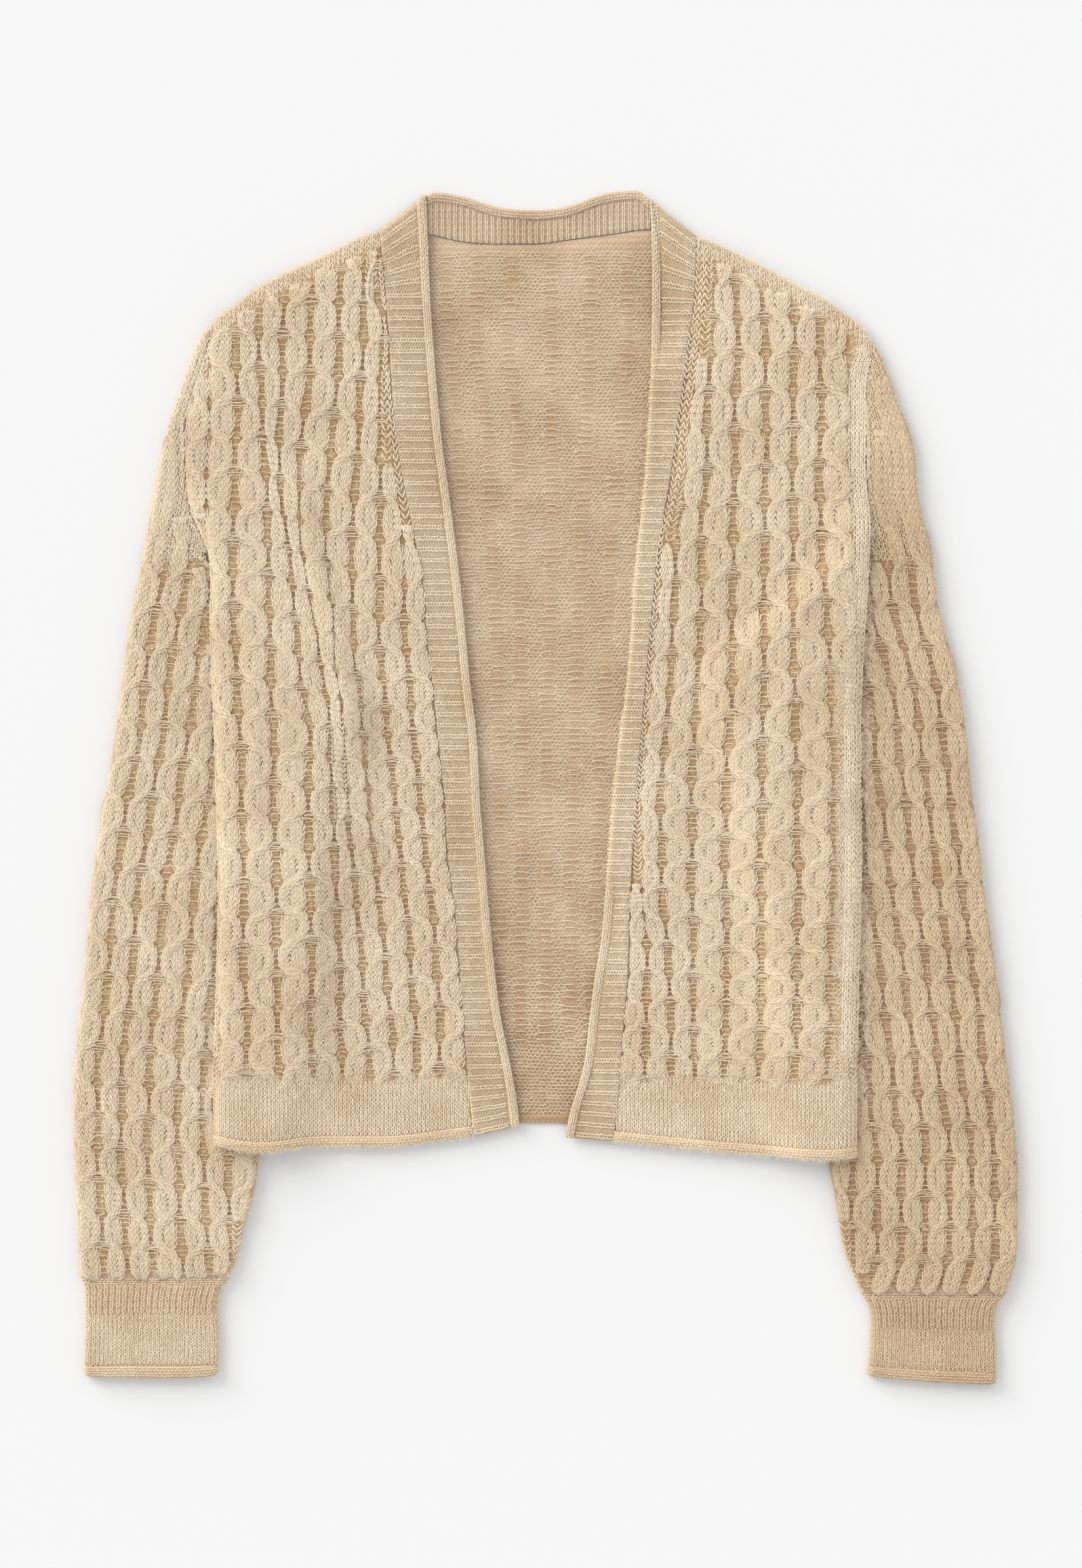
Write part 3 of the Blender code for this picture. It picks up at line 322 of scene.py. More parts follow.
LEFT = SideTables(
    name="left",
    sign=1,
    outer=(
        (261.5, 195.5), (245, 202), (221, 210.5), (197, 217.5), (167, 221), (137, 228.5),
        (105, 232.5),
        (77, 240.5), (41, 247.5), (5, 251), (-31, 256), (-67, 260), (-103, 265.5), (-147, 270.5),
        (-187, 275.5), (-223, 279), (-271, 279), (-299.5, 272),
    ),
    inner=(
        (137, 192), (113, 170), (65, 123.5), (-15, 138), (-95, 152), (-191, 163), (-215.5, 166.5),
        (-247, 172), (-271, 176), (-291, 183), (-299.5, 187),
    ),
    side=(
        (261, 195), (249, 191), (235, 189), (185.5, 189), (154.5, 191.5), (123.5, 190.5),
        (77.5, 187.5),
        (31.5, 186), (-45, 186.5), (-127, 184.5), (-175, 184), (-218.5, 183.5),
    ),
    shoulder=(
        (89, 326), (101.5, 321), (118, 313), (134, 305), (148, 297), (164, 289), (175.5, 281),
        (186, 273), (195, 261),
    ),
    hem=((40, -209), (78, -213), (126, -217), (168, -219.5), (183.5, -217.5)),
    band_outer=(
        (326, 89), (289, 88), (264.5, 84.5), (233, 80.5), (186, 74), (143, 67), (94.5, 62),
        (66.5, 59.5), (5.5, 54.5), (-53.5, 50.5), (-113, 48.5), (-142.5, 46), (-172, 44),
        (-209, 40),
    ),
    band_inner=(
        (350, 58), (325, 61.5), (294.5, 63), (240, 62), (180.5, 58.5), (130, 53), (66.5, 48.5),
        (15.5, 42), (-53.5, 36), (-89, 33), (-113, 29), (-136.5, 26), (-162, 23), (-178, 19),
        (-191.5, 15), (-206.5, 12),
    ),
    band_curl=((350, 0), (275, 0), (235, 1), (-40, 1), (-75, 0), (-210, 0)),
    band_lift=((350, 0.9), (300, 0.9), (235, 3.9), (-40, 3.9), (-110, 0.9), (-210, 0.9)),
    ladders=(
        (305, 93, 95, 99, 112, 126.5, 146, 160.5, 176.5),
        (265, 88, 91, 97.5, 113.5, 130, 147.5, 162, 177.5),
        (225, 83, 86.5, 96, 112, 130, 146.5, 163, 179),
        (185, 77.5, 81.5, 95, 112, 130, 146, 162, 180.5),
        (145, 70, 77.5, 91.5, 111, 129.5, 146, 162.5, 182.5),
        (105, 66.5, 76, 92, 110, 129.5, 146, 165.5, 183),
        (65, 62.5, 74, 90, 110, 128.5, 146.5, 168, 183),
        (25, 59, 70, 87.5, 108.5, 127.5, 147.5, 170, 182),
        (-15, 57, 68, 86, 106.5, 127.5, 148, 170, 182),
        (-55, 57, 69, 86.5, 106, 127, 149, 169.5, 182),
        (-95, 59.5, 72, 87.5, 107, 127.5, 148.5, 168, 181.5),
        (-135, 59.5, 74, 87.5, 107, 127, 148, 168, 181),
        (-175, 59, 74, 88, 105, 125.5, 146, 166, 180.5),
    ),
    ladder_tops=(-80, 180) + (OPEN,) * 6,
    waists_at=(74, 110, 147),
    waists=(
        (0, 353, 351, 349), (1, 309, 307, 305.5), (2, 263, 263, 263), (3, 217.5, 219, 220),
        (4, 171.5, 173.5, 177), (5, 128, 133, 136), (6, 85, 89, 97), (7, 43.5, 49, 56),
        (8, 8, 12, 18),
        (9, -23.5, -24, -20.5), (10, -55, -59, -57), (11, -87, -91, -90.5), (12, -120, -123, -121),
        (13, -153, -155, -152), (14, -185, -187, -183), (15, -217, -219, -215),
    ),
    sleeve_ladders=(13.5, 27, 40.5, 54.5, 68.5, 83, 98.5),
    sleeve_parity=0,
    sleeve_waists=(
        (0, 139), (1, 91), (2, 44.5), (3, -2), (4, -49.5), (5, -87), (6, -127), (7, -173),
        (8, -213.5),
        (9, -253), (10, -292),
    ),
    sleeve_end=-299.5,
    cuff_outer=((-299.5, 272), (-306, 267), (-331, 266), (-353.4, 266)),
    cuff_inner=((-299.5, 187), (-306, 191), (-331, 191.5), (-348.6, 190)),
    cuff_end=(-353.4, -348.6),
    sleeve_tilt=0.0,
    ridges=((150, 180, 142, 20, 13, 1.3), (104, 150, 112, -20, 12, 1), (168, 30, 160, -120, 10, 1)),
    sleeve_ridges=(
        (205, 120, 232, 10, 10, 1.3), (248, 40, 232, -120, 12, 1.3),
        (262, -100, 246, -230, 11, 1.1),
    ),
)
SIDES = (RIGHT, LEFT)
BACK_TOP = (
    (-197, 274), (-183, 285), (-160, 301), (-126, 317), (-98, 328), (-70, 327.5), (-52.5, 323.5),
    (-31, 321.5), (-7, 321.5), (14, 324), (41, 327.5), (61, 330), (89, 326), (118, 313), (148, 297),
    (175, 281), (195, 261),
)
BACK_HEM = ((-196, -203), (-60, -200), (0, -198.5), (60, -201), (184, -208))
NECK_TOP = (
    (-69, 350.5), (-66, 352), (-48, 349.5), (-31, 344), (-7, 341.5), (14, 344), (34, 351),
    (50, 353),
    (56, 352.5), (61, 348),
)

# ---- curves


def along(table: Table, at: Array, onward: bool = False) -> Array:
    """Reads a table's second column at values of its first, on a smooth curve through its rows.

    Between two rows the curve is the cubic whose slopes at the rows are the table's own mean
    slopes, or level where the table turns.

    Args:
        table: rows of (position, value), in any order.
        at: positions to read.
        onward: whether the end slopes go on past both ends.

    Returns:
        The values, held level past both ends unless they go on.
    """
    rows = np.array(sorted(tuple(row[:2]) for row in table), float)
    x, y = rows[:, 0], rows[:, 1]
    if len(x) < 3:
        return np.interp(at, x, y)
    slope = np.diff(y) / np.diff(x)
    tangent = np.concatenate([slope[:1], 0.5 * (slope[1:] + slope[:-1]), slope[-1:]])
    tangent[1:-1][slope[1:] * slope[:-1] <= 0] = 0.0
    at = np.asarray(at, float)
    spot = np.clip(at, x[0], x[-1])
    past = (at - spot) * np.where(at < x[0], slope[0], slope[-1])
    k = np.clip(np.searchsorted(x, spot) - 1, 0, len(x) - 2)
    step = x[k + 1] - x[k]
    t = (spot - x[k]) / step
    bend = t * t * (3 - 2 * t)
    return (
        y[k] * (1 - bend)
        + y[k + 1] * bend
        + step * tangent[k] * t * (1 - t) ** 2
        - step * tangent[k + 1] * t * t * (1 - t)
        + (past if onward else 0.0)
    )


def columns_at(table: Table, at: Array, onward: bool = False) -> list[Array]:
    """Reads every column after a table's first, each on a smooth curve of its own."""
    rows = np.array(table, float)
    return [along(rows[:, (0, k)], at, onward) for k in range(1, rows.shape[1])]


def eased(share: Array) -> Array:
    """Levels a share from 0 to 1 off at both ends: 3s^2 - 2s^3."""
    share = np.clip(share, 0.0, 1.0)
    return share * share * (3.0 - 2.0 * share)


def quarter_round(distance: Array, radius: float) -> Array:
    """Rises from 0 at an edge to 1 at radius inside it, as a quarter of an ellipse."""
    left = 1.0 - np.clip(distance / radius, 0.0, 1.0)
    return np.sqrt(np.clip(1.0 - left * left, 0.0, 1.0))


def bead(depth: Array, wide: float, tall: float) -> Array:
    """Rise of a rolled edge at a depth inside it: half an ellipse, then a narrow furrow."""
    off = np.clip((depth - 0.5 * wide) / (0.5 * wide), -1.0, 1.0)
    furrow = -0.5 * np.exp(-(((depth - wide - 0.3) / 0.7) ** 2))
    return tall * np.sqrt(1.0 - off * off) + furrow


def wander(x: Array, y: Array, size: float, seed: float) -> Array:
    """A smooth unevenness from -1 to 1 with humps of about a size: three crossed sine waves."""
    a, b = x / size, y / size
    return (
        np.sin(1.9 * a + 0.7 * b + seed)
        + np.sin(-0.8 * a + 1.7 * b + 2.3 * seed)
        + np.sin(1.1 * a - 2.3 * b + 4.1 * seed)
    ) / 3.0


def places(x: Array, y: Array, z: Array) -> Array:
    """X, Y and Z as one array (..., 3)."""
    return np.stack(np.broadcast_arrays(x, y, z), axis=-1)


def pairs(across: Array, courses: Array) -> tuple[Array, Array]:
    """Every place across with every course, as two flat arrays."""
    place, number = np.meshgrid(across, courses)
    return place.reshape(-1), number.reshape(-1)


# ---- how the layers lie


def lifted(y: Array) -> Array:
    """0 where the body lies beside the sleeve at the armhole, 1 where it lies on the sleeve."""
    return eased((LIFT_TOP - y) / (LIFT_TOP - LIFT_FULL))


def back_under(x: Array, y: Array) -> Array:
    """Height of the back's underside: up on a sleeve at the sides, eased down inside its edge."""
    out = np.zeros(np.broadcast(x, y).shape)
    for side in SIDES:
        upper = (along(side.side, y) - x) * side.sign
        lower = (along(side.inner, y) - x) * side.sign - BESIDE
        past = np.where(y > LIFT_FULL, upper, lower)
        out = np.maximum(out, eased(1.0 - past / SHORE))
    return OVER_SLEEVE * lifted(y) * out


def back_cover(x: Array, y: Array, reach: float = 4.5) -> Array:
    """Height of the back's upper side, taking the highest of what lies within reach."""
    steps = ((0, 0), (reach, 0), (-reach, 0), (0, reach), (0, -reach))
    return np.maximum.reduce([back_under(x + dx, y + dy) for dx, dy in steps]) + WALL


def folds(table: Table, x: Array, y: Array) -> Array:
    """Height of soft folds: each is a bell across a line, fading at the line's ends."""
    out = np.zeros(np.broadcast(x, y).shape)
    for x0, y0, x1, y1, width, height in table:
        dx, dy = x1 - x0, y1 - y0
        length = math.hypot(dx, dy)
        t = ((x - x0) * dx + (y - y0) * dy) / length**2
        off = ((x - x0) * dy - (y - y0) * dx) / length + 0.25 * width * np.sin(5.0 * t + x0)
        ends = eased(t / 0.2 + 0.3) * eased((1.0 - t) / 0.2 + 0.3)
        out = out + height * ends * np.exp(-((off / (0.5 * width)) ** 2))
    return out


@dataclass
class FrontLay:
    """How one front lies on the back."""

    side: SideTables

    def from_side(self, x: Array, y: Array) -> Array:
        """Distance inside the folded side or armhole seam."""
        return (along(self.side.side, y) - x) * self.side.sign

    def from_band(self, x: Array, y: Array) -> Array:
        """Distance inside the band's seam."""
        return (x - along(self.side.band_outer, y)) * self.side.sign

    def under(self, x: Array, y: Array) -> Array:
        """Height of the front's underside.

        It is the back's upper side plus air: a seam gap at the side that rises over the fold, a
        gap of its own at the band, and next to none along the shoulder seam.

        Args:
            x: X of the places.
            y: Y of the places.

        Returns:
            Z in millimetres.
        """
        inside = self.from_side(x, y)
        width = np.maximum(inside + self.from_band(x, y), 1.0)
        seam = SEAM + (SLEEVE_HIGH - 2 * WALL - SEAM) * (1.0 - lifted(y))
        air = seam + (PUFF - seam) * quarter_round(inside - 1.6, FOLD)
        air = air + (along(self.side.band_lift, y) - air) * eased(inside / width)
        depth = along(self.side.shoulder, x) - y
        air = SEAM + (air - SEAM) * quarter_round(depth + 1.0, SHOULDER)
        return back_cover(x, y) + air

    def top(self, x: Array, y: Array) -> Array:
        """Height of the front's plain outer side, rounded down at the folded side."""
        s = self.side
        inside = self.from_side(x, y)
        uneven = 0.35 * wander(x, y, 26.0, 3.0 + s.sign)
        level = self.under(x, y) + WALL + folds(s.ridges, x, y) + uneven
        edge_level = self.under(along(s.side, y), y) + WALL + (EDGE_HIGH - WALL) * lifted(y)
        rounded = edge_level + (level - edge_level) * quarter_round(inside, FOLD)
        return np.where(inside < FOLD, rounded, level)


@dataclass
class SleeveLay:
    """How one sleeve lies: a flattened tube with rounded edges."""

    side: SideTables
    edge_round: float = 3.2

    def edges(self, y: Array) -> tuple[Array, Array]:
        """X of the outer edge and of the inner edge at heights y."""
        s = self.side
        high = along(s.side, y) + s.sign * 0.6
        return along(s.outer, y), np.where(y > LIFT_FULL - 1, high, along(s.inner, y))

    def clear(self, x: Array, y: Array) -> Array:
        """Distance outside the body."""
        return (x - along(self.side.side, y)) * self.side.sign

    def shown(self, x: Array, y: Array) -> Array:
        """1 where the sleeve shows, 0 where the body lies on it."""
        hem = np.interp(x, *np.array(self.side.hem, float).T)
        margin = np.where(y > LIFT_FULL, 0.0, 1.5)
        return np.maximum(eased((self.clear(x, y) - margin) / 4.0), eased((hem + 1.0 - y) / 5.0))

    def top(self, x: Array, y: Array) -> Array:
        """Height of the plain upper side: the tube's half thickness, rounded at both edges."""
        outer, inner = self.edges(y)
        across = np.minimum(np.abs(x - outer), np.where(y > LIFT_FULL, FAR, np.abs(inner - x)))
        soft = 0.5 * folds(self.side.sleeve_ridges, x, y) * self.shown(x, y)
        round_off = quarter_round(across, self.edge_round)
        return 0.5 * SLEEVE_HIGH * (1.0 + round_off) + soft * round_off


# ---- meshes


def grid_quads(index: Array) -> Array:
    """Corners (n, 4) of a grid's faces: they look up where rows run up and columns run to +X."""
    corners = [index[:-1, :-1], index[:-1, 1:], index[1:, 1:], index[1:, :-1]]
    return np.stack(corners, axis=-1).reshape(-1, 4)


def roofs(lines: Array, thick: Array, drop: float, rise: float) -> Array:
    """Low roofs along lines: a crest with a side to each hand.

    Args:
        lines: (n, points, 3).
        thick: (n, points, 1), how far the sides stand from the line.
        drop: how far the sides lie below the line, in shares of thick.
        rise: how far the crest lies over it, in shares of thick.

    Returns:
        (n, points, 3, 3): left side, crest and right side at each point.
    """
    run = np.gradient(lines, axis=1)[..., :2]
    run = run / np.maximum(np.linalg.norm(run, axis=-1, keepdims=True), 1e-6)
    left = np.stack([-run[..., 1], run[..., 0]], axis=-1) * thick
    beside = np.concatenate([left, -drop * thick], axis=-1)
    crest = lines + np.concatenate([np.zeros_like(run), rise * thick], axis=-1)
    return np.stack([lines + beside, crest, lines + beside * np.array((-1.0, -1.0, 1.0))], axis=2)


class Soup:
    """Collects grids of points as one mesh with a shade and stitch coordinates.

    A shade is painted shade: 0 deep between yarns, where shade falls, and 1 on a crest. Stitch coordinates count wales
    and courses.
    """

    # painted shade: a yarn's sides are darker than its crest
    roof_shade = np.array((0.5, 1.0, 0.5))  # of a yarn's sides and crest
    # painted shade of a wall's inner side
    inner_shade = 0.3

    def __init__(self) -> None:
        """Starts empty."""
        self.points: list[Array] = []
        self.quads: list[Array] = []
        self.triangles: list[Array] = [np.zeros((0, 3), int)]
        self.shade: list[Array] = []
        self.stitch: list[Array] = []
        self.count = 0

    def add(
        self, points: Array, quads: Array, shade: Array,
        stitch: Optional[Array] = None, triangles: Optional[Array] = None,
    ) -> None:
        """Adds points with faces that index them.

        Args:
            points: (n, 3) in millimetres in the tables' frame.
            quads: (m, 4) corners, turning left seen from outside.
            shade: (n,).
            stitch: (n, 2), or none for plain.
            triangles: (k, 3) corners, if any.
        """
        number = len(points)
        self.points.append(points)
        self.quads.append(quads.reshape(-1, 4) + self.count)
        if triangles is not None:
            self.triangles.append(triangles + self.count)
        self.shade.append(shade)
        self.stitch.append(np.zeros((number, 2)) if stitch is None else stitch)
        self.count += number

    def walled(
        self, outer: Array, inner: Array, shade: Array, stitch: Array,
        ring: bool = False, turned: bool = False,
    ) -> None:
        """Adds a wall: outer and inner grids of one size, joined along their open edges.

        Args:
            outer: (rows, columns, 3), seen from outside.
            inner: (rows, columns, 3), behind it.
            shade: of the outer side, (rows, columns) or one that spreads to it.
            stitch: (rows, columns, 2).
            ring: whether the last column meets the first.
            turned: whether faces look down instead of up.
        """
        count = outer.shape[0] * outer.shape[1]
        index = np.arange(count).reshape(outer.shape[:2])
        if ring:
            index = np.concatenate([index, index[:, :1]], axis=1)
        quads = grid_quads(index)
        border = [index[0], index[-1, ::-1]]
        if not ring:
            border += [index[:, -1], index[::-1, 0]]
        rims = [
            np.stack([line[1:], line[:-1], line[:-1] + count, line[1:] + count], axis=-1)
            for line in border
        ]
        faces = np.concatenate([quads, quads[:, ::-1] + count, *rims])
        faces = faces[:, ::-1] if turned else faces
        points = np.concatenate([outer.reshape(-1, 3), inner.reshape(-1, 3)])
        shown = np.broadcast_to(shade, outer.shape[:2]).reshape(-1)
        shades = np.concatenate([shown, np.full(count, self.inner_shade)])
        self.add(points, faces, shades, np.concatenate([stitch.reshape(-1, 2)] * 2))

    def patches(self, grids: Array, shade: Array) -> None:
        """Adds many small open grids (n, rows, columns, 3) at once, such as stitch legs."""
        many, rows, columns = grids.shape[:3]
        if not many:
            return
        quads = grid_quads(np.arange(rows * columns).reshape(rows, columns))
        every = quads[None] + (np.arange(many) * rows * columns)[:, None, None]
        shades = np.broadcast_to(shade, grids.shape[:3]).reshape(-1)
        self.add(grids.reshape(-1, 3), every, shades)

    def threads(self, lines: Array, radius: Array, shade: float) -> None:
        """Adds many threads along lines (n, points, 3)."""
        thick = np.broadcast_to(radius, lines.shape[:2])[..., None]
        self.patches(roofs(lines, thick, 0.8, 0.6), shade * self.roof_shade)

    def built(self, name: str, material: bpy.types.Material) -> Piece:
        """Makes the mesh object.

        Args:
            name: the piece's name.
            material: its finish.

        Returns:
            The object, linked to the scene, at the origin.
        """
        points = (np.concatenate(self.points) + np.array(SHIFT)) * MM
        quads, three = np.concatenate(self.quads), np.concatenate(self.triangles)
        corners = np.concatenate([quads.reshape(-1), three.reshape(-1)])
        starts = [np.arange(len(quads)) * 4, len(quads) * 4 + np.arange(len(three)) * 3]
        mesh = bpy.data.meshes.new(name)
        mesh.vertices.add(len(points))
        mesh.vertices.foreach_set("co", points.astype(np.float32).reshape(-1))
        mesh.loops.add(len(corners))
        mesh.loops.foreach_set("vertex_index", corners.astype(np.int32))
        mesh.polygons.add(len(quads) + len(three))
        mesh.polygons.foreach_set("loop_start", np.concatenate(starts).astype(np.int32))
        mesh.update(calc_edges=True)
        shade = mesh.attributes.new("shade", "FLOAT", "POINT")
        shade.data.foreach_set("value", np.concatenate(self.shade).astype(np.float32))
        stitch = np.concatenate(self.stitch)[corners].astype(np.float32)
        mesh.uv_layers.new(name="stitches").data.foreach_set("uv", stitch.reshape(-1))
        mesh.validate()
        mesh.shade_smooth()
        mesh.materials.append(material)
        piece = bpy.data.objects.new(name, mesh)
        bpy.context.scene.collection.objects.link(piece)
        LOG.info("%s: %d faces", name, len(quads) + len(three))
        return piece


def quilt(
    edges: tuple[Curve, Curve], ends: tuple[Curve, Curve], across: Array, depths: Array, rows: int
) -> tuple[Array, Array]:
    """X and Y of a grid over a panel, with close rows along its lower edge.

    Args:
        edges: X of the panel's -X side and of its +X side at Y.
        ends: Y of its lower and of its upper edge at X.
        across: columns, 0 at the left side and 1 at the right.
        depths: heights of the first rows over the lower edge.
        rows: how many even rows follow.

    Returns:
        X and Y, each (rows, columns).
    """
    left, right = edges
    low, high = ends
    count = len(depths)
    share = np.linspace(0.0, 1.0, rows + 1)[1:, None]
    depth = np.asarray(depths, float)[:, None]
    y = np.linspace(-205.0, 300.0, count + rows)[:, None] + 0.0 * across[None, :]
    for _ in range(8):
        x = left(y) + (right(y) - left(y)) * across[None, :]
        bottom, top = low(x), high(x)
        start = bottom[count:] + depth[-1]
        y = np.concatenate([bottom[:count] + depth, start + (top[count:] - start) * share])
    return x, y


def around(tops: int, lows: int) -> Array:
    """Shares across a flattened ring (1, columns), over the top and back below.

    Args:
        tops: columns over the top, from the outer edge.
        lows: columns below, back towards it.

    Returns:
        0 at the outer edge to 1 at the inner one, closest at both.
    """
    over = 0.5 - 0.5 * np.cos(np.linspace(0.0, np.pi, tops))
    below = (0.5 + 0.5 * np.cos(np.linspace(0.0, np.pi, lows + 2)))[1:-1]
    return np.concatenate([over, below])[None, :]


def turning(side: SideTables) -> slice:
    """The order of a ring's columns in which its faces look outward."""
    return slice(None) if side.sign < 0 else slice(None, None, -1)


def stitch_counts(x: Array, y: Array) -> Array:
    """Stitch coordinates of places: wales across and courses along."""
    return np.stack([x / WALE, y / COURSE], axis=-1)


# ---- stitches


class Stitch(Enum):
    """What a stitch shows: a large V, a small V, a long purl bump, or a rolled edge's short one."""

    KNIT = "knit"
    FINE = "fine"
    PURL = "purl"
    DASH = "dash"


@dataclass(frozen=True)
class StitchShape:
    """The path of a stitch's yarn arc: in wales, courses and yarn radii."""

    across: Sequence[float]
    along: Sequence[float]
    rise: Sequence[float]
    mirrored: bool  # whether a stitch shows the arc twice, mirrored


SHAPES = {
    Stitch.KNIT: StitchShape((0.02, 0.3, 0.44), (-0.54, -0.04, 0.46), (-0.4, 0.5, -0.3), True),
    Stitch.FINE: StitchShape((0.06, 0.36, 0.3), (-0.58, 0.02, 0.62), (-0.3, 0.6, -0.3), True),
    Stitch.PURL: StitchShape((-0.5, 0.0, 0.5), (-0.26, 0.3, -0.26), (-0.4, 0.5, -0.4), False),
    Stitch.DASH: StitchShape((-0.46, 0.0, 0.46), (-0.14, 0.14, -0.14), (-0.7, 0.7, -0.7), False),
}


@dataclass(frozen=True)
class Yarn:
    """How a field of stitches is worked."""

    kind: Stitch
    radius: float  # half the yarn's width
    loose: float = 1.0  # how uneven the stitches lie
    tone: float = 1.0  # shade of their crests


def work(soup: Soup, at: At, wale: Array, course: Array, yarn: Yarn, chance: Chance) -> None:
    """Adds the yarn arcs of many stitches: low roofs along each arc, uneven by a little.

    Args:
        soup: where the arcs go.
        at: gives places for (across, along, rise), in wales, courses and millimetres.
        wale: (n,) the stitches' middles across, in wales.
        course: (n,) the stitches' middles along, in courses.
        yarn: the kind of stitch and its yarn.
    """
    if not len(wale):
        return
    shape, loose = SHAPES[yarn.kind], yarn.loose
    sides = np.array((-1.0, 1.0)) if shape.mirrored else np.array((1.0,))
    count = (len(wale), len(sides), 1)
    shift = chance.normal(0.0, 0.035 * loose, (2, *count))
    lean = chance.normal(0.0, 0.05 * loose, count)
    span = np.array(shape.along)
    path = sides[None, :, None] * np.array(shape.across)
    across = wale[:, None, None] + path + shift[0] + lean * span
    stretch = chance.normal(1.0, 0.06 * loose, count)
    along_course = course[:, None, None] + span * stretch + shift[1]
    rise = np.array(shape.rise) * yarn.radius + chance.normal(0.0, 0.06 * loose, count)
    stops = len(shape.across)
    lines = at(across, along_course, rise).reshape(-1, stops, 3)
    taper = 1.0 - 0.35 * np.abs(np.linspace(-1.0, 1.0, stops)) ** 3
    thick = yarn.radius * taper[None, :, None] * chance.normal(1.0, 0.12, (len(lines), 1, 1))
    tone = yarn.tone * soup.roof_shade * chance.normal(0.94, 0.07, (len(lines), stops, 1))
    soup.patches(roofs(lines, thick, 0.4, 0.35), tone)


@dataclass(frozen=True)
class Fibres:
    """Loose fibres: how long they are, how far their tips stand off, how deep they are rooted."""

    length: Span
    lift: float
    sink: float = 0.0
    width: float = 0.13
    crest: float = 1.7  # height of the stitches' crests over the plain cloth

    def strew(self, soup: Soup, spots: Array, chance: Chance) -> None:
        """Adds fibres as thin curved ribbons.

        Args:
            soup: where they go.
            spots: (n, 3) on the plain cloth, where they start.
        """
        many = len(spots)
        turn = chance.uniform(0.0, 2.0 * np.pi, (many, 1))
        bend = chance.normal(0.0, 0.9, (many, 1))
        step = 0.5 * chance.uniform(*self.length, (many, 1))
        t = np.linspace(0.0, 1.0, 3)[None, :]
        angle = turn + bend * t
        dx, dy = np.cos(angle), np.sin(angle)
        x = spots[:, :1] + np.cumsum(dx * step, axis=1) - dx[:, :1] * step
        y = spots[:, 1:2] + np.cumsum(dy * step, axis=1) - dy[:, :1] * step
        tip = np.sin(np.pi * np.clip(t * 0.8, 0, 1))
        rise = chance.uniform(0.3, 1.0, (many, 1)) * self.lift * tip
        z = spots[:, 2:] - self.sink + self.crest + rise
        half = 0.5 * self.width * (1.0 - 0.8 * t)
        left = places(x - dy * half, y + dx * half, z)
        right = places(x + dy * half, y - dx * half, z)
        soup.patches(np.stack([left, right], axis=2), 0.95)


def strewn(chance: Chance, x: Span, y: Span, many: int) -> tuple[Array, Array]:
    """X and Y of random places in a rectangle."""
    return chance.uniform(*x, many), chance.uniform(*y, many)


# ---- cables


@dataclass(frozen=True)
class Strand:
    """One of the two strands that snake over each other in every strip between two ladders."""

    side: float  # 1 or -1: to which side of the strip it swings first
    share: float  # of the strip's width
    wales: int
    high: float  # rise over the plain outer side
    swell: float  # how much more of it where the strands cross
    radius: float  # half the yarn's width
    loose: float
    tone: float


# painted shade: the lower strand's tone is a little darker than the upper one's
LOWER = Strand(-1.0, 0.62, 3, 0.9, -0.5, 0.9 * YARN, 1.3, 0.86)
UPPER = Strand(1.0, 0.38, 2, 1.05, 0.35, 0.8 * YARN, 1.0, 0.92)
FINENESS = 22.0  # net rows in a cable period
PHASE = 0.09  # how far past a waist, in cable periods, the strands stay against the ladder
NARROW = 6.0  # a strip narrower than this is plain
BUNCH = (0.075, 0.1, 0.128, 0.158, 0.195)  # where bunched rungs lie past a waist, in cable periods
PLAIN_RISE = 0.35  # of the wales in a narrow strip
AHEAD = 0.012  # cable periods to the point that gives a strand's direction
CLOSING = 12.0  # over what distance a ladder closes
BUNCH_SPAN = (0.05, 0.2)  # where bunched rungs take the even ones' place, in cable periods


def swing(number: Array) -> Array:
    """From 1 at whole cable numbers to -1 half way between, staying long at both."""
    return np.tanh(2.0 * np.cos(2.0 * np.pi * (number + PHASE))) / math.tanh(2.0)


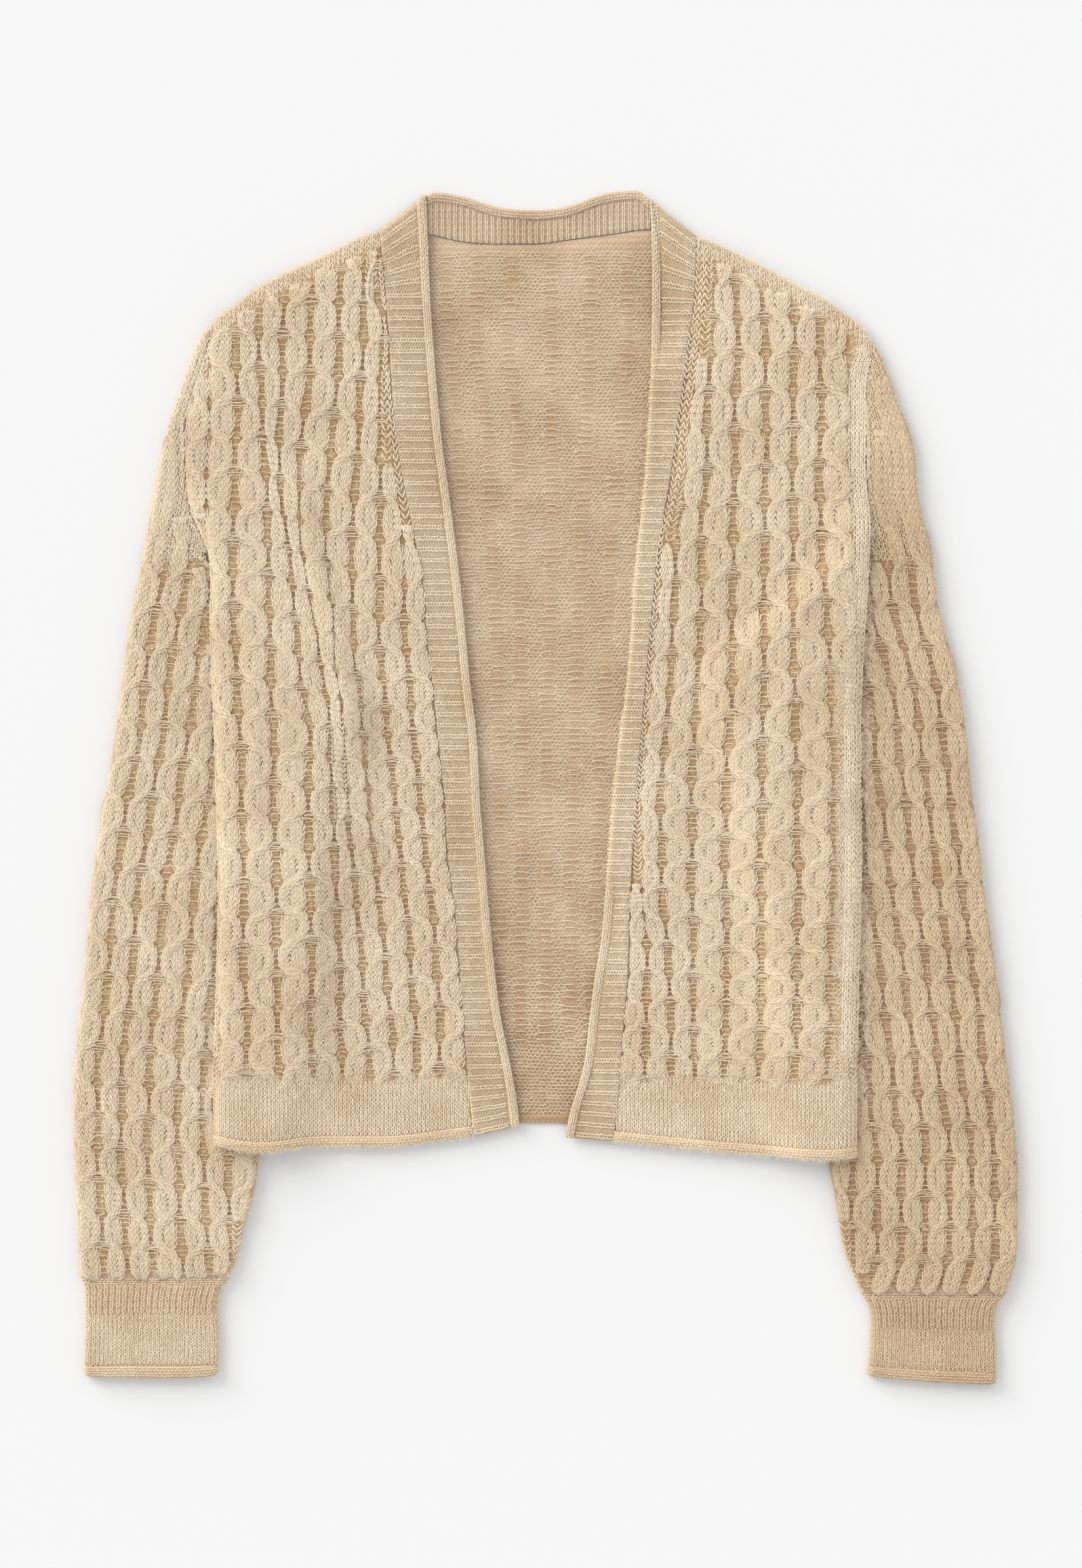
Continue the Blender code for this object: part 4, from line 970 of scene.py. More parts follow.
class Cabled:
    """A piece of the garment that carries a cable panel."""

    name: str  # what its pieces' names start with
    side: SideTables
    lay: Union[FrontLay, SleeveLay]
    material: bpy.types.Material
    chance: Chance

    def lines(self, y: Array) -> Array:
        """X of the panel's curves at heights y, (curves, n), from -X."""
        raise NotImplementedError

    def waist(self, number: Array, x: Array) -> Array:
        """Y of a cable number at x."""
        raise NotImplementedError

    def inside(self, x: Array, y: Array) -> Array:
        """Distance inside the panel, below 0 outside."""
        raise NotImplementedError

    def lift(self, x: Array, y: Array) -> Array:
        """The share of full height that the pattern has."""
        raise NotImplementedError

    def cabled(self, x: Array, y: Array) -> Array:
        """1 with cables, 0 where plain."""
        raise NotImplementedError

    def finish(self, soup: Soup, panel: "CablePanel") -> None:
        """Adds the plain knitting and the loose fibres."""
        raise NotImplementedError

    def veil(self, x: Array, y: Array) -> Array:
        """1 where brushed fibres hide the ladders."""
        return np.zeros(np.broadcast(x, y).shape)

    def level(self, x: Array, y: Array) -> Array:
        """Height of the plain outer side."""
        return self.lay.top(x, y)

    def fuzz(self, soup: Soup, fibres: Fibres, x: Array, y: Array, kept: Array) -> None:
        """Adds loose fibres at some of the places given.

        Args:
            soup: where they go.
            fibres: their measures.
            x: X of the places.
            y: Y of the places.
            kept: which of them to use.
        """
        x, y = x[kept], y[kept]
        fibres.strew(soup, places(x, y, self.level(x, y)), self.chance)

    def worked(self, panel: "CablePanel") -> list[Piece]:
        """Makes the strands, then their stitches, then the rungs with the plain knitting."""
        cables, yarns, threads = Soup(), Soup(), Soup()
        panel.ribbons(cables)
        panel.stitches(yarns, self.chance)
        panel.plain_wales(yarns, self.chance)
        panel.rungs(threads, self.chance)
        self.finish(threads, panel)
        soups = {"cables": cables, "stitches": yarns, "rungs": threads}
        return [soup.built(f"{self.name}_{part}", self.material) for part, soup in soups.items()]


@dataclass
class CablePanel:
    """Wave cables between ladders: in each strip an upper strand snakes over a lower one.

    Curves are numbered from -X: 0 is the panel's edge, then its ladders, then its other edge.
    """

    ground: Cabled
    tops: Sequence[float]  # Y above which each curve's ladder is closed
    parity: int  # of the ladders where the strands meet at whole cable numbers
    span: Span  # first and last cable number
    slope: float = 0.0  # how far a course drops for each millimetre to +X
    plain: float = 0.7  # rise of plain knitting
    settles: bool = False  # whether strands come to lie side by side where there are no cables
    gap: Span = (1.15, 2.1)  # half a ladder's width where strands meet and part
    uneven: float = 0.9  # how far strands stray

    def __post_init__(self) -> None:
        """Solves where each curve crosses each cable number."""
        ground = self.ground
        self.numbers = np.arange(self.span[0], self.span[1] + 0.5 / FINENESS, 1.0 / FINENESS)
        self.curves = len(ground.lines(np.zeros(1)))
        every = range(self.curves)
        self.y = np.stack([ground.waist(self.numbers, np.zeros_like(self.numbers))] * self.curves)
        for _ in range(8):
            self.x = np.stack([ground.lines(self.y[c])[c] for c in every])
            waists = [ground.waist(self.numbers, self.x[c]) for c in every]
            self.y = np.stack([waists[c] - self.slope * self.x[c] for c in every])

    def place(self, curve: Array, number: Array) -> tuple[Array, Array]:
        """X and Y at a curve number, whole or between two curves, and a cable number."""
        i = np.clip((number - self.span[0]) * FINENESS, 0.0, len(self.numbers) - 1.001)
        j = i.astype(int)
        a = np.clip(np.floor(curve).astype(int), 0, self.curves - 2)
        u, v = curve - a, i - j
        out = []
        for grid in (self.x, self.y):
            low = grid[a, j] * (1 - u) + grid[a + 1, j] * u
            high = grid[a, j + 1] * (1 - u) + grid[a + 1, j + 1] * u
            out.append(low * (1 - v) + high * v)
        x, y = out
        stray = self.uneven * wander(x, y, 19.0, 5.0 + self.parity)
        return x + stray, y + 1.2 * self.uneven * wander(x, y, 27.0, 9.0)

    def facing(self, curve: int) -> float:
        """1 for a curve whose strands meet at whole cable numbers, -1 for one where they part."""
        return 1.0 if (curve - 1) % 2 == self.parity else -1.0

    def half_gap(self, curve: int, number: Array, y: Array) -> Array:
        """Half width of the ladder at a curve."""
        if curve in (0, self.curves - 1):
            return np.full(np.shape(number), 0.2)
        parted = 0.5 - 0.5 * self.facing(curve) * swing(number)
        wide = self.gap[0] + (self.gap[1] - self.gap[0]) * parted
        closing = eased((self.tops[curve] - y) / CLOSING)
        return wide * closing * (1.0 + 0.25 * np.sin(0.21 * y + 2.0 * curve))

    def centre(self, strip: int, strand: Strand, number: Array) -> tuple[Array, ...]:
        """A strand's middle line.

        Args:
            strip: the number of the curve on the strip's -X side.
            strand: the upper strand or the lower one.
            number: cable numbers.

        Returns:
            X, Y, the strip's solid width, how the strand leans (-1 to 1), the share of cabling.
        """
        ax, ay = self.place(strip + 0.5, number)
        cabled = self.ground.cabled(ax, ay)
        turn = self.facing(strip) * swing(number)
        veiled = cabled * (1.0 - 0.8 * self.ground.veil(ax, ay))
        near = self.half_gap(strip, number, ay) * veiled
        far = self.half_gap(strip + 1, number, ay) * veiled
        x0, y0 = self.place(float(strip), number)
        x1, y1 = self.place(strip + 1.0, number)
        width = np.maximum(np.hypot(x1 - x0, y1 - y0) * np.sign(x1 - x0), 0.5)
        solid = np.maximum(width - near - far, 0.4)
        swings = 0.5 * (1.0 - strand.share) * strand.side
        middle = 0.5 - swings * turn
        if self.settles:
            middle = middle * cabled + (0.5 - swings) * (1.0 - cabled)
        share = (near + solid * middle) / width
        return x0 + (x1 - x0) * share, y0 + (y1 - y0) * share, solid, turn, cabled

    def point(self, strip: int, strand: Strand, number: Array, across: Array, rise: Array) -> Array:
        """Places on a strand, which humps or dips where it crosses the other.

        Args:
            strip: the strip.
            strand: the upper strand or the lower one.
            number: cable numbers.
            across: -1 to 1 over the strand's width.
            rise: millimetres over the strand's arched top.

        Returns:
            (..., 3) in millimetres.
        """
        x, y, solid, turn, cabled = self.centre(strip, strand, number)
        ahead_x, ahead_y = self.centre(strip, strand, number + AHEAD)[:2]
        run_x, run_y = ahead_x - x, ahead_y - y
        length = np.maximum(np.hypot(run_x, run_y), 1e-6)
        half = 0.52 * solid * strand.share
        px = x - run_y / length * half * across
        py = y + run_x / length * half * across
        full = strand.high + strand.swell * (1.0 - turn * turn)
        height = self.plain + (full - self.plain) * cabled
        arch = -0.5 * across**4
        lift = self.ground.lift(px, py)
        return places(px, py, self.ground.level(px, py) + (height + arch + rise) * lift)

    def strands(self, margin: float) -> Iterator[tuple[int, Strand, float, float]]:
        """Finds where each strip's strands lie inside the panel.

        Args:
            margin: how far inside its edge.

        Yields:
            The strip, the strand and the first and last cable number.
        """
        for strip in range(self.curves - 1):
            for strand in (LOWER, UPPER):
                x, y, solid, _, _ = self.centre(strip, strand, self.numbers)
                alive = np.flatnonzero((self.ground.inside(x, y) > margin) & (solid > NARROW))
                if len(alive) > 3:
                    yield strip, strand, self.numbers[alive[0]], self.numbers[alive[-1]]

    def ribbons(self, soup: Soup) -> None:
        """Adds each strand's body: a low closed tube under its stitches."""
        across = np.array((-1.0, -0.55, 0.0, 0.55, 1.0))
        drop = np.array((-0.9, -0.25, -0.5, -0.25, -0.9))
        # painted shade: a strand's edges are darker than its middle
        tone = np.array((0.15, 0.42, 0.42, 0.42, 0.15))
        sides = len(across)
        for strip, strand, first, last in self.strands(0.5):
            rows = int((last - first) * 10.0) + 2
            number = np.linspace(first, last, rows)[:, None] + 0 * across
            ring = self.point(strip, strand, number, across + 0 * number, drop + 0 * number)
            index = np.arange(rows * sides).reshape(rows, sides)
            index = np.concatenate([index, index[:, :1]], axis=1)
            end = (rows - 1) * sides
            caps = np.array([[0, 1, 2, 3], [end + 3, end + 2, end + 1, end]])
            quads = np.concatenate([grid_quads(index)[:, (0, 3, 2, 1)], caps])
            corners = np.array([[0, 3, 4], [end, end + 4, end + 3]])
            soup.add(ring.reshape(-1, 3), quads, np.tile(tone, rows), None, corners)

    def stitches(self, soup: Soup, chance: Chance) -> None:
        """Adds the wales of knit stitches on each strand."""
        for strip, strand, first, last in self.strands(1.5):
            number = np.arange(math.ceil(first * COURSES + 0.4), last * COURSES - 0.3) / COURSES
            yarn = Yarn(Stitch.KNIT, strand.radius, strand.loose, strand.tone)
            for wale in range(strand.wales):

                def at(across: Array, along_course: Array, rise: Array) -> Array:
                    """Places on this wale of the strand."""
                    place = (2.0 * (wale + across) + 1.0) / strand.wales - 1.0
                    return self.point(strip, strand, -along_course / COURSES, place, rise)

                work(soup, at, np.zeros(len(number)), -number * COURSES, yarn, chance)

    def plain_wales(self, soup: Soup, chance: Chance) -> None:
        """Adds straight wales where a strip is too narrow for a cable."""
        number = np.arange(self.span[0] + 0.05, self.span[1] - 0.05, 1.0 / COURSES)
        for strip in range(self.curves - 1):
            x0, _ = self.place(float(strip), number)
            x1, _ = self.place(strip + 1.0, number)
            width = x1 - x0
            narrow = (width < NARROW + 2.6) & (width > 1.6)
            if narrow.sum() < 6:
                continue
            wales = max(1, round(float(np.median(width[narrow])) / WALE))
            place, course = pairs((np.arange(wales) + 0.5) / wales, number[narrow])
            inside = self.ground.inside(*self.place(strip + place, course))
            keep = (inside > 0.6) & (self.centre(strip, UPPER, course)[2] <= NARROW)
            place, course = place[keep], course[keep]

            def at(across: Array, along_course: Array, rise: Array) -> Array:
                """Places on the strip, in wales across."""
                share = np.clip(across / wales, 0.02, 0.98)
                px, py = self.place(strip + share, -along_course / COURSES)
                raised = (PLAIN_RISE + rise) * self.ground.lift(px, py)
                return places(px, py, self.ground.level(px, py) + raised)

            yarn = Yarn(Stitch.KNIT, YARN, 1.0, 0.9)
            work(soup, at, place * wales, -course * COURSES, yarn, chance)

    def rungs(self, soup: Soup, chance: Chance, tone: float = 0.75) -> None:
        """Adds the ladders' rungs: one thread a course, and a few bunched where the strands part.

        Args:
            soup: where they go.
            tone: shade of their crests.
        """
        ground, (first, last) = self.ground, self.span
        share = np.linspace(-1.0, 1.0, 4)[None, :]
        arch = 1.0 - share**2
        for curve in range(1, self.curves - 1):
            phase = 0.0 if self.facing(curve) > 0 else 0.5
            even = np.arange(math.ceil(first * COURSES), last * COURSES) / COURSES
            waists = np.arange(math.ceil(first), math.floor(last)) + phase
            bunch = (waists[:, None] + np.array(BUNCH)).reshape(-1)
            since = (even - phase) % 1.0
            even = even[(since < BUNCH_SPAN[0]) | (since > BUNCH_SPAN[1])]
            number = np.concatenate([even, bunch])
            wide = np.concatenate([np.zeros(len(even)), np.ones(len(bunch))])
            number = number + chance.normal(0.0, 0.006, len(number))
            x, y = self.place(float(curve), number)
            keep = (ground.inside(x, y) > 2.0) & (ground.cabled(x, y) > 0.6)
            keep &= (y < self.tops[curve] - 0.5 * CLOSING) & (ground.veil(x, y) < 0.75)
            number, wide, x, y = number[keep], wide[keep, None], x[keep, None], y[keep, None]
            if not len(number):
                continue
            gap = self.half_gap(curve, number, y[:, 0])[:, None]
            past = ((number - phase) % 1.0)[:, None] - BUNCH_SPAN[0]
            reach = gap + 0.5 + wide * (0.6 + 9.0 * past)
            tilt = chance.normal(0.0, 0.25, (len(number), 1))
            bow = chance.normal(0.35, 0.3, (len(number), 1))
            px = x + share * reach
            py = y + bow * arch + tilt * share - self.slope * share * reach
            up = np.where(wide > 0, 1.0, 0.45) + np.where(wide > 0, 0.1, 0.0) * share**2
            sag = -0.45 * arch * np.where(wide > 0, 0.3, 1.0)
            z = ground.level(px, py) + (up + sag) * ground.lift(px, py)
            radius = RUNG * chance.normal(1.0, 0.15, (len(number), 1))
            soup.threads(places(px, py, z), radius, tone)


# ---- materials


def linear(code: str) -> tuple[float, float, float, float]:
    """An sRGB hex colour as linear RGBA."""
    parts = [int(code[k : k + 2], 16) / 255.0 for k in (1, 3, 5)]
    parts = [c / 12.92 if c <= 0.04045 else ((c + 0.055) / 1.055) ** 2.4 for c in parts]
    return (parts[0], parts[1], parts[2], 1.0)


@dataclass
class Wiring:
    """Adds nodes to a material's tree."""

    tree: bpy.types.NodeTree

    def node(self, kind: str, **inputs: Union[float, Socket]) -> bpy.types.Node:
        """Adds one node.

        Args:
            kind: the node's type name.
            inputs: input name, with _ for a space, to its value or the socket that feeds it.

        Returns:
            The node.
        """
        node = self.tree.nodes.new(kind)
        for name, value in inputs.items():
            self.feed(node.inputs[name.replace("_", " ")], value)
        return node

    def feed(self, socket: Socket, value: Union[float, Socket]) -> None:
        """Sets an input, or links it to the output that feeds it."""
        if isinstance(value, Socket):
            self.tree.links.new(value, socket)
        else:
            socket.default_value = value

    def maths(self, kind: str, *values: Union[float, Socket], clamp: bool = False) -> Socket:
        """Adds a math node.

        Args:
            kind: its operation.
            values: its inputs in order, numbers or sockets.
            clamp: whether the result stays between 0 and 1.

        Returns:
            Its output.
        """
        node = self.tree.nodes.new("ShaderNodeMath")
        node.operation = kind
        node.use_clamp = clamp
        for socket, value in zip(node.inputs, values):
            self.feed(socket, value)
        return node.outputs[0]


@dataclass(frozen=True)
class BrushedWool:
    """Brushed wool and mohair yarn, spun loosely and knitted, with its fibres teased out."""

    name: str
    # painted shade: deep is the yarn's colour darkened where shade falls between yarns
    deep: str  # colour between the yarns
    crest: str  # colour on a stitch
    halo: float = 0.7  # strength of the soft sheen of standing fibres
    sheen: str = "#F3E6D0"
    fibre: float = 0.5  # how strongly single fibres show in the tone
    cloud: float = 0.6  # how strongly the dye is clouded
    knit: float = 0.1  # how strongly the plain cloth's courses show in the tone
    knit_bump: float = 0.8  # how strongly they show in the bump, against the fibres

    def build(self) -> bpy.types.Material:
        """Makes the material: yarn colour by depth with painted shade deep between yarns, cloudy dye, fine fibres in
        colour and bump.
        """
        material = bpy.data.materials.new(self.name)
        material.use_nodes = True
        wire = Wiring(material.node_tree)
        place = wire.node("ShaderNodeTexCoord").outputs["Object"]
        shade = wire.node("ShaderNodeAttribute")
        shade.attribute_name = "shade"
        noise = "ShaderNodeTexNoise"
        fibre = wire.node(noise, Vector=place, Scale=1400.0, Detail=3.0, Roughness=0.65)
        fibre = fibre.outputs["Fac"]
        cloud = wire.node(noise, Vector=place, Scale=26.0, Detail=2.0).outputs["Fac"]
        knit = self.knit_wave(wire)
        fine = wire.maths("MULTIPLY_ADD", fibre, self.fibre, -0.5 * self.fibre)
        broad = wire.maths("MULTIPLY_ADD", cloud, self.cloud, -0.5 * self.cloud)
        total = wire.maths("ADD", wire.maths("MULTIPLY_ADD", knit, self.knit, fine), broad)
        tone = wire.maths("ADD", total, shade.outputs["Fac"], clamp=True)
        # the ramp runs from the painted shade of deep to the crest colour
        ramp = wire.node("ShaderNodeValToRGB", Fac=tone)
        ramp.color_ramp.elements[0].color = linear(self.deep)
        ramp.color_ramp.elements[1].color = linear(self.crest)
        height = wire.maths("MULTIPLY_ADD", knit, self.knit_bump, fibre)
        bump = wire.node("ShaderNodeBump", Strength=0.5, Distance=0.0002, Height=height)
        shader = material.node_tree.nodes["Principled BSDF"]
        wire.feed(shader.inputs["Base Color"], ramp.outputs["Color"])
        wire.feed(shader.inputs["Normal"], bump.outputs["Normal"])
        wire.feed(shader.inputs["Roughness"], 0.95)
        wire.feed(shader.inputs["Sheen Weight"], self.halo)
        wire.feed(shader.inputs["Sheen Roughness"], 0.8)
        wire.feed(shader.inputs["Sheen Tint"], linear(self.sheen))
        return material

    def knit_wave(self, wire: Wiring) -> Socket:
        """Adds plain cloth's V-shaped courses: cos 2 pi (course + distance from the wale + 1/4)."""
        counts = wire.node("ShaderNodeUVMap")
        counts.uv_map = "stitches"
        split = wire.node("ShaderNodeSeparateXYZ", Vector=counts.outputs["UV"])
        off = wire.maths("SUBTRACT", wire.maths("FRACT", split.outputs["X"]), 0.5)
        course = wire.maths("ADD", split.outputs["Y"], wire.maths("ABSOLUTE", off))
        turn = wire.maths("MULTIPLY_ADD", course, 2.0 * math.pi, 0.5 * math.pi)
        return wire.maths("COSINE", turn)


# ---- what the frame is told


@dataclass
class Knitted:
    """A finished knitted piece of the garment: its cloth, what is worked on it, its real cut."""

    node: str
    cloth: Piece
    pieces: list[Piece]
    flat: tuple[float, float]  # width and length of the whole cut, m
    area: float  # m2
    rests_on: list[str]

    def declare(self) -> None:
        """Tells the frame what the piece stands for and how it was cut."""
        for piece in (self.cloth, *self.pieces):
            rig.ride(piece, "root")
            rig.slot(piece, self.node)
        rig.replaces(self.cloth, self.node)
        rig.sheet(
            self.cloth,
            flat=self.flat,
            held="laid",
            rests_on=self.rests_on,
            area=self.area,
            with_pieces=self.pieces,
        )
        LOG.info("%s done", self.node)


# ---- fronts

EDGE = ((1.5, 4.0), 1.2)  # length and lift of the fibres along edges


@dataclass
class Front(Cabled):
    """One front: seven cables between eight ladders, a rolled hem, plain knitting at the ends."""

    side: SideTables
    lay: FrontLay
    material: bpy.types.Material
    chance: Chance
    columns: int = 34
    rows: int = 96
    roll_wide: float = 6.4
    roll_tall: float = 1.6
    cloth_drop: float = 0.95  # of the wall under the strands
    shoulder_plain: float = 8.0  # depth of the plain knitting at the shoulder
    fade: float = 6.0  # over what distance cables end at the shoulder and the hem
    side_fade: float = 4.0  # and at the folded side
    fibres: int = 14000
    edge_fibres: int = 2400

    def __post_init__(self) -> None:
        """Names the front and sets how wide the plain knitting on its folded side is."""
        self.name = f"front_{self.side.name}"
        self.plain_side = 9.0 if self.side.sign > 0 else 1.0

    def lines(self, y: Array) -> Array:
        """X of the front's curves at heights y, from -X."""
        s = self.side
        ladders = columns_at(s.ladders, y)
        low, high = along(s.side, y), along(s.band_outer, y)
        if s.sign > 0:
            return np.stack([high, *ladders, low])
        return np.stack([low, np.maximum(low + 0.5, ladders[0] - 16.5), *ladders, high])

    def waist(self, number: Array, x: Array) -> Array:
        """Y of a cable number at x."""
        at = self.side.waists_at
        one, two, three = columns_at(self.side.waists, number, True)
        first = np.clip((x - at[0]) / (at[1] - at[0]), 0.0, 1.0)
        second = np.clip((x - at[1]) / (at[2] - at[1]), 0.0, 1.0)
        return one + (two - one) * first + (three - two) * second

    def hem(self, x: Array) -> Array:
        """Y of the hem at x."""
        return along(self.side.hem, x)

    def shoulder(self, x: Array) -> Array:
        """Y of the shoulder seam at x."""
        return along(self.side.shoulder, x)

    def inside(self, x: Array, y: Array) -> Array:
        """Distance inside the cabled part."""
        depth = self.shoulder(x) - y - (self.shoulder_plain - 1.0)
        above = y - HEM_TOP + 1.5
        from_side = self.lay.from_side(x, y) + 0.8
        return np.minimum.reduce([depth, above, from_side, self.lay.from_band(x, y) + 1.2])

    def cabled(self, x: Array, y: Array) -> Array:
        """1 where there are cables, 0 along the shoulder, the hem and the folded side."""
        depth = self.shoulder(x) - y - self.shoulder_plain
        ends = eased(depth / self.fade) * eased((y - HEM_TOP) / self.fade)
        return ends * eased((self.lay.from_side(x, y) - self.plain_side) / self.side_fade)

    def veil(self, x: Array, y: Array) -> Array:
        """1 on the crest of a large fold, where the brushed fibres hide the ladders."""
        large = [row for row in self.side.ridges if row[-1] > 2.0]
        return np.clip(folds(large, x, y) / 2.0, 0.0, 1.0)

    def lift(self, x: Array, y: Array) -> Array:
        """The pattern is flatter on the folded side and into the shoulder seam."""
        beside = 0.3 + 0.7 * quarter_round(self.lay.from_side(x, y), 7.0)
        return beside * (0.4 + 0.6 * eased((self.shoulder(x) - y) / 6.0))

    def roll(self, x: Array, y: Array) -> Array:
        """Rise of the rolled hem."""
        return bead(y - self.hem(x), self.roll_wide, self.roll_tall)

    def cloth(self) -> Piece:
        """The wall under the cables, dark with painted shade where it shows between them."""
        s = self.side
        edges = (s.side, s.band_outer) if s.sign < 0 else (s.band_outer, s.side)
        across = np.linspace(0.0, 1.0, self.columns)
        x, y = quilt(
            (lambda at: along(edges[0], at), lambda at: along(edges[1], at)),
            (self.hem, self.shoulder),
            1.0 - (1.0 - across) ** 1.7 if s.sign > 0 else across**1.7,
            np.array((0.0, 0.4, 1.2, 2.2, 3.2, 4.2, 5.2, 6.0, 6.4, 6.9, 8.0)),
            self.rows,
        )
        under = self.lay.under(x, y) + 0.1
        rolled = np.where(y - self.hem(x) < 8.5, self.roll(x, y), 0.0)
        top = np.maximum(self.lay.top(x, y) - self.cloth_drop + rolled, under + 0.5)
        soup = Soup()
        # painted shade: darkest under the cables, where the wall shows through the ladders
        shade = 0.03 + 0.2 * (1.0 - self.cabled(x, y))
        soup.walled(places(x, y, top), places(x, y, under), shade, stitch_counts(x, y))
        return soup.built(self.name, self.material)

    def build(self) -> Knitted:
        """Makes the front and its cables."""
        s = self.side
        right = s.sign < 0
        ladders = (CLOSED, *s.ladder_tops) if right else (*s.ladder_tops[:-1], CLOSED)
        span = (-0.5, s.waists[-1][0] + 1.0)
        panel = CablePanel(self, (OPEN, *ladders, OPEN), 0 if right else 1, span, plain=-1.0)
        cloth = self.cloth()
        pieces = self.worked(panel)
        flat, area = (0.140, 0.536), 0.068
        return Knitted(f"front_panel_{s.name}", cloth, pieces, flat, area, ["back_panel"])

    def finish(self, soup: Soup, panel: CablePanel) -> None:
        """Adds the plain knitting at the hem, the shoulder and the folded side, and the fibres."""
        self.plain_knitting(soup, self.side.hem, 2.5, np.arange(3.0, 19.0), 2.45)
        self.plain_knitting(soup, self.side.shoulder, -3.1, np.arange(0.7, 5.0), 2.8)
        self.fold_knitting(soup)
        self.hem_stitches(soup)
        span = (np.min(panel.x), np.max(panel.x))
        x, y = strewn(self.chance, span, (-214.0, 325.0), SPARE * self.fibres)
        dense = self.chance.random(len(x)) < 0.4 + 0.6 * self.veil(x, y)
        kept = np.flatnonzero((self.inside(x, y) > -6.0) & dense)[: self.fibres]
        self.fuzz(soup, Fibres((2.5, 7.0), 1.8), x, y, kept)
        x, inset = strewn(self.chance, span, (0.0, 1.2), self.edge_fibres)
        upper = np.arange(self.edge_fibres) % 2 == 0
        y = np.where(upper, self.shoulder(x) - inset, self.hem(x) + inset)
        kept = (self.lay.from_side(x, y) > 0.0) & (self.lay.from_band(x, y) > 0.0)
        self.fuzz(soup, Fibres(*EDGE, sink=2.2), x, y, kept)

    def plain_knitting(
        self, soup: Soup, outline: Table, up: float, courses: Array, pitch: float
    ) -> None:
        """Adds fine plain knitting along an edge.

        Args:
            soup: where the stitches go.
            outline: the edge, rows of (X, Y).
            up: millimetres from one course to the next, below 0 down from the edge.
            courses: the courses' numbers from the edge.
            pitch: from one wale to the next.
        """
        ends = np.array(outline, float)[:, 0]
        wale, course = pairs(np.arange(ends.min() + 0.4, ends.max(), pitch) / pitch, courses)

        def at(across: Array, along_course: Array, rise: Array) -> Array:
            """Places in wales across and courses from the edge."""
            x = across * pitch
            y = along(outline, x) + along_course * up
            return places(x, y, self.lay.top(x, y) - 0.6 + rise * self.lift(x, y))

        x, y = wale * pitch, along(outline, wale * pitch) + course * up
        keep = (self.lay.from_side(x, y) > 0.5) & (self.lay.from_band(x, y) > 0.0)
        keep &= self.cabled(x, y) < 0.5
        yarn = Yarn(Stitch.FINE, 0.4, 1.4, 0.9)
        work(soup, at, wale[keep], course[keep], yarn, self.chance)

    def fold_knitting(self, soup: Soup, pitch: float = 2.6, course: float = 3.1) -> None:
        """Adds the plain wales that follow the folded side.

        Args:
            soup: where the stitches go.
            pitch: from one wale to the next.
            course: from one course to the next.
        """
        top = max(row[0] for row in self.side.side)
        courses = np.arange(HEM_TOP + 18.0, top - 2.0, course) / course
        place, number = pairs(np.arange(0.4, 6.0), courses)

        def at(across: Array, along_course: Array, rise: Array) -> Array:
            """Places in wales from the side and courses up."""
            y = along_course * course
            x = along(self.side.side, y) - self.side.sign * across * pitch
            return places(x, y, self.lay.top(x, y) - 0.5 + rise * (0.6 + 0.4 * self.lift(x, y)))

        x, y, _ = at(place, number, 0.0 * place).T
        keep = (self.cabled(x, y) < 0.5) & (self.shoulder(x) - y > 10.0)
        # painted light: the folded side's stitches are brighter, to offset the shade on the rounded fold
        yarn = Yarn(Stitch.FINE, 0.46, 1.3, 1.1)
        work(soup, at, place[keep], number[keep], yarn, self.chance)

    def hem_stitches(self, soup: Soup, pitch: float = 2.3, course: float = 1.7) -> None:
        """Adds the purl stitches of the rolled hem.

        Args:
            soup: where the stitches go.
            pitch: from one wale to the next.
            course: from one course to the next.
        """
        start, end = self.side.hem[0][0], self.side.hem[-1][0]
        wale = np.arange(0.6, abs(end - start) / pitch)

        def at(across: Array, along_course: Array, rise: Array) -> Array:
            """Places on the roll, in wales and courses."""
            x = start + across * pitch
            y = self.hem(x) + along_course * course
            return places(x, y, self.lay.top(x, y) - 0.9 + self.roll(x, y) + rise)

        yarn = Yarn(Stitch.DASH, 0.5, 1.8, 0.9)
        for row, lean in ((0.55, 0.0), (1.45, 0.5), (2.4, 0.5), (3.3, 0.0)):
            work(soup, at, wale + lean, np.full(len(wale), row), yarn, self.chance)


# ---- back

BACK_LADDERS = (  # (Y, X of each ladder)
    (300, -100, -80, -59, -40, -20, 4, 26.5, 49.5, 70, 91),
    (265, -98, -78, -58, -40.6, -22.2, 3.8, 25.8, 48.2, 68, 88),
    (225, -94, -74, -53, -36, -17.5, 3.8, 25, 46, 64, 82),
    (186, -90, -71, -50.6, -32.8, -15.4, 3.8, 23, 42.6, 60, 78),
    (145, -86, -67, -48.3, -31.8, -15.4, 3.4, 21.4, 39.4, 57, 75),
    (85, -80, -62, -45.5, -28.6, -14.9, 2.4, 19, 36, 53, 70),
    (22, -75, -59, -43, -26.6, -13.3, 1.2, 17.2, 32.8, 49, 66),
    (-29, -73, -57, -42, -26.6, -13.5, 0.6, 15.4, 31.4, 47, 64),
    (-95, -72, -57, -42, -27.4, -14.2, 0.2, 15, 27.8, 44, 61),
    (-150, -72, -57, -42, -28, -14.6, -0.2, 14.5, 27, 43, 60),
)


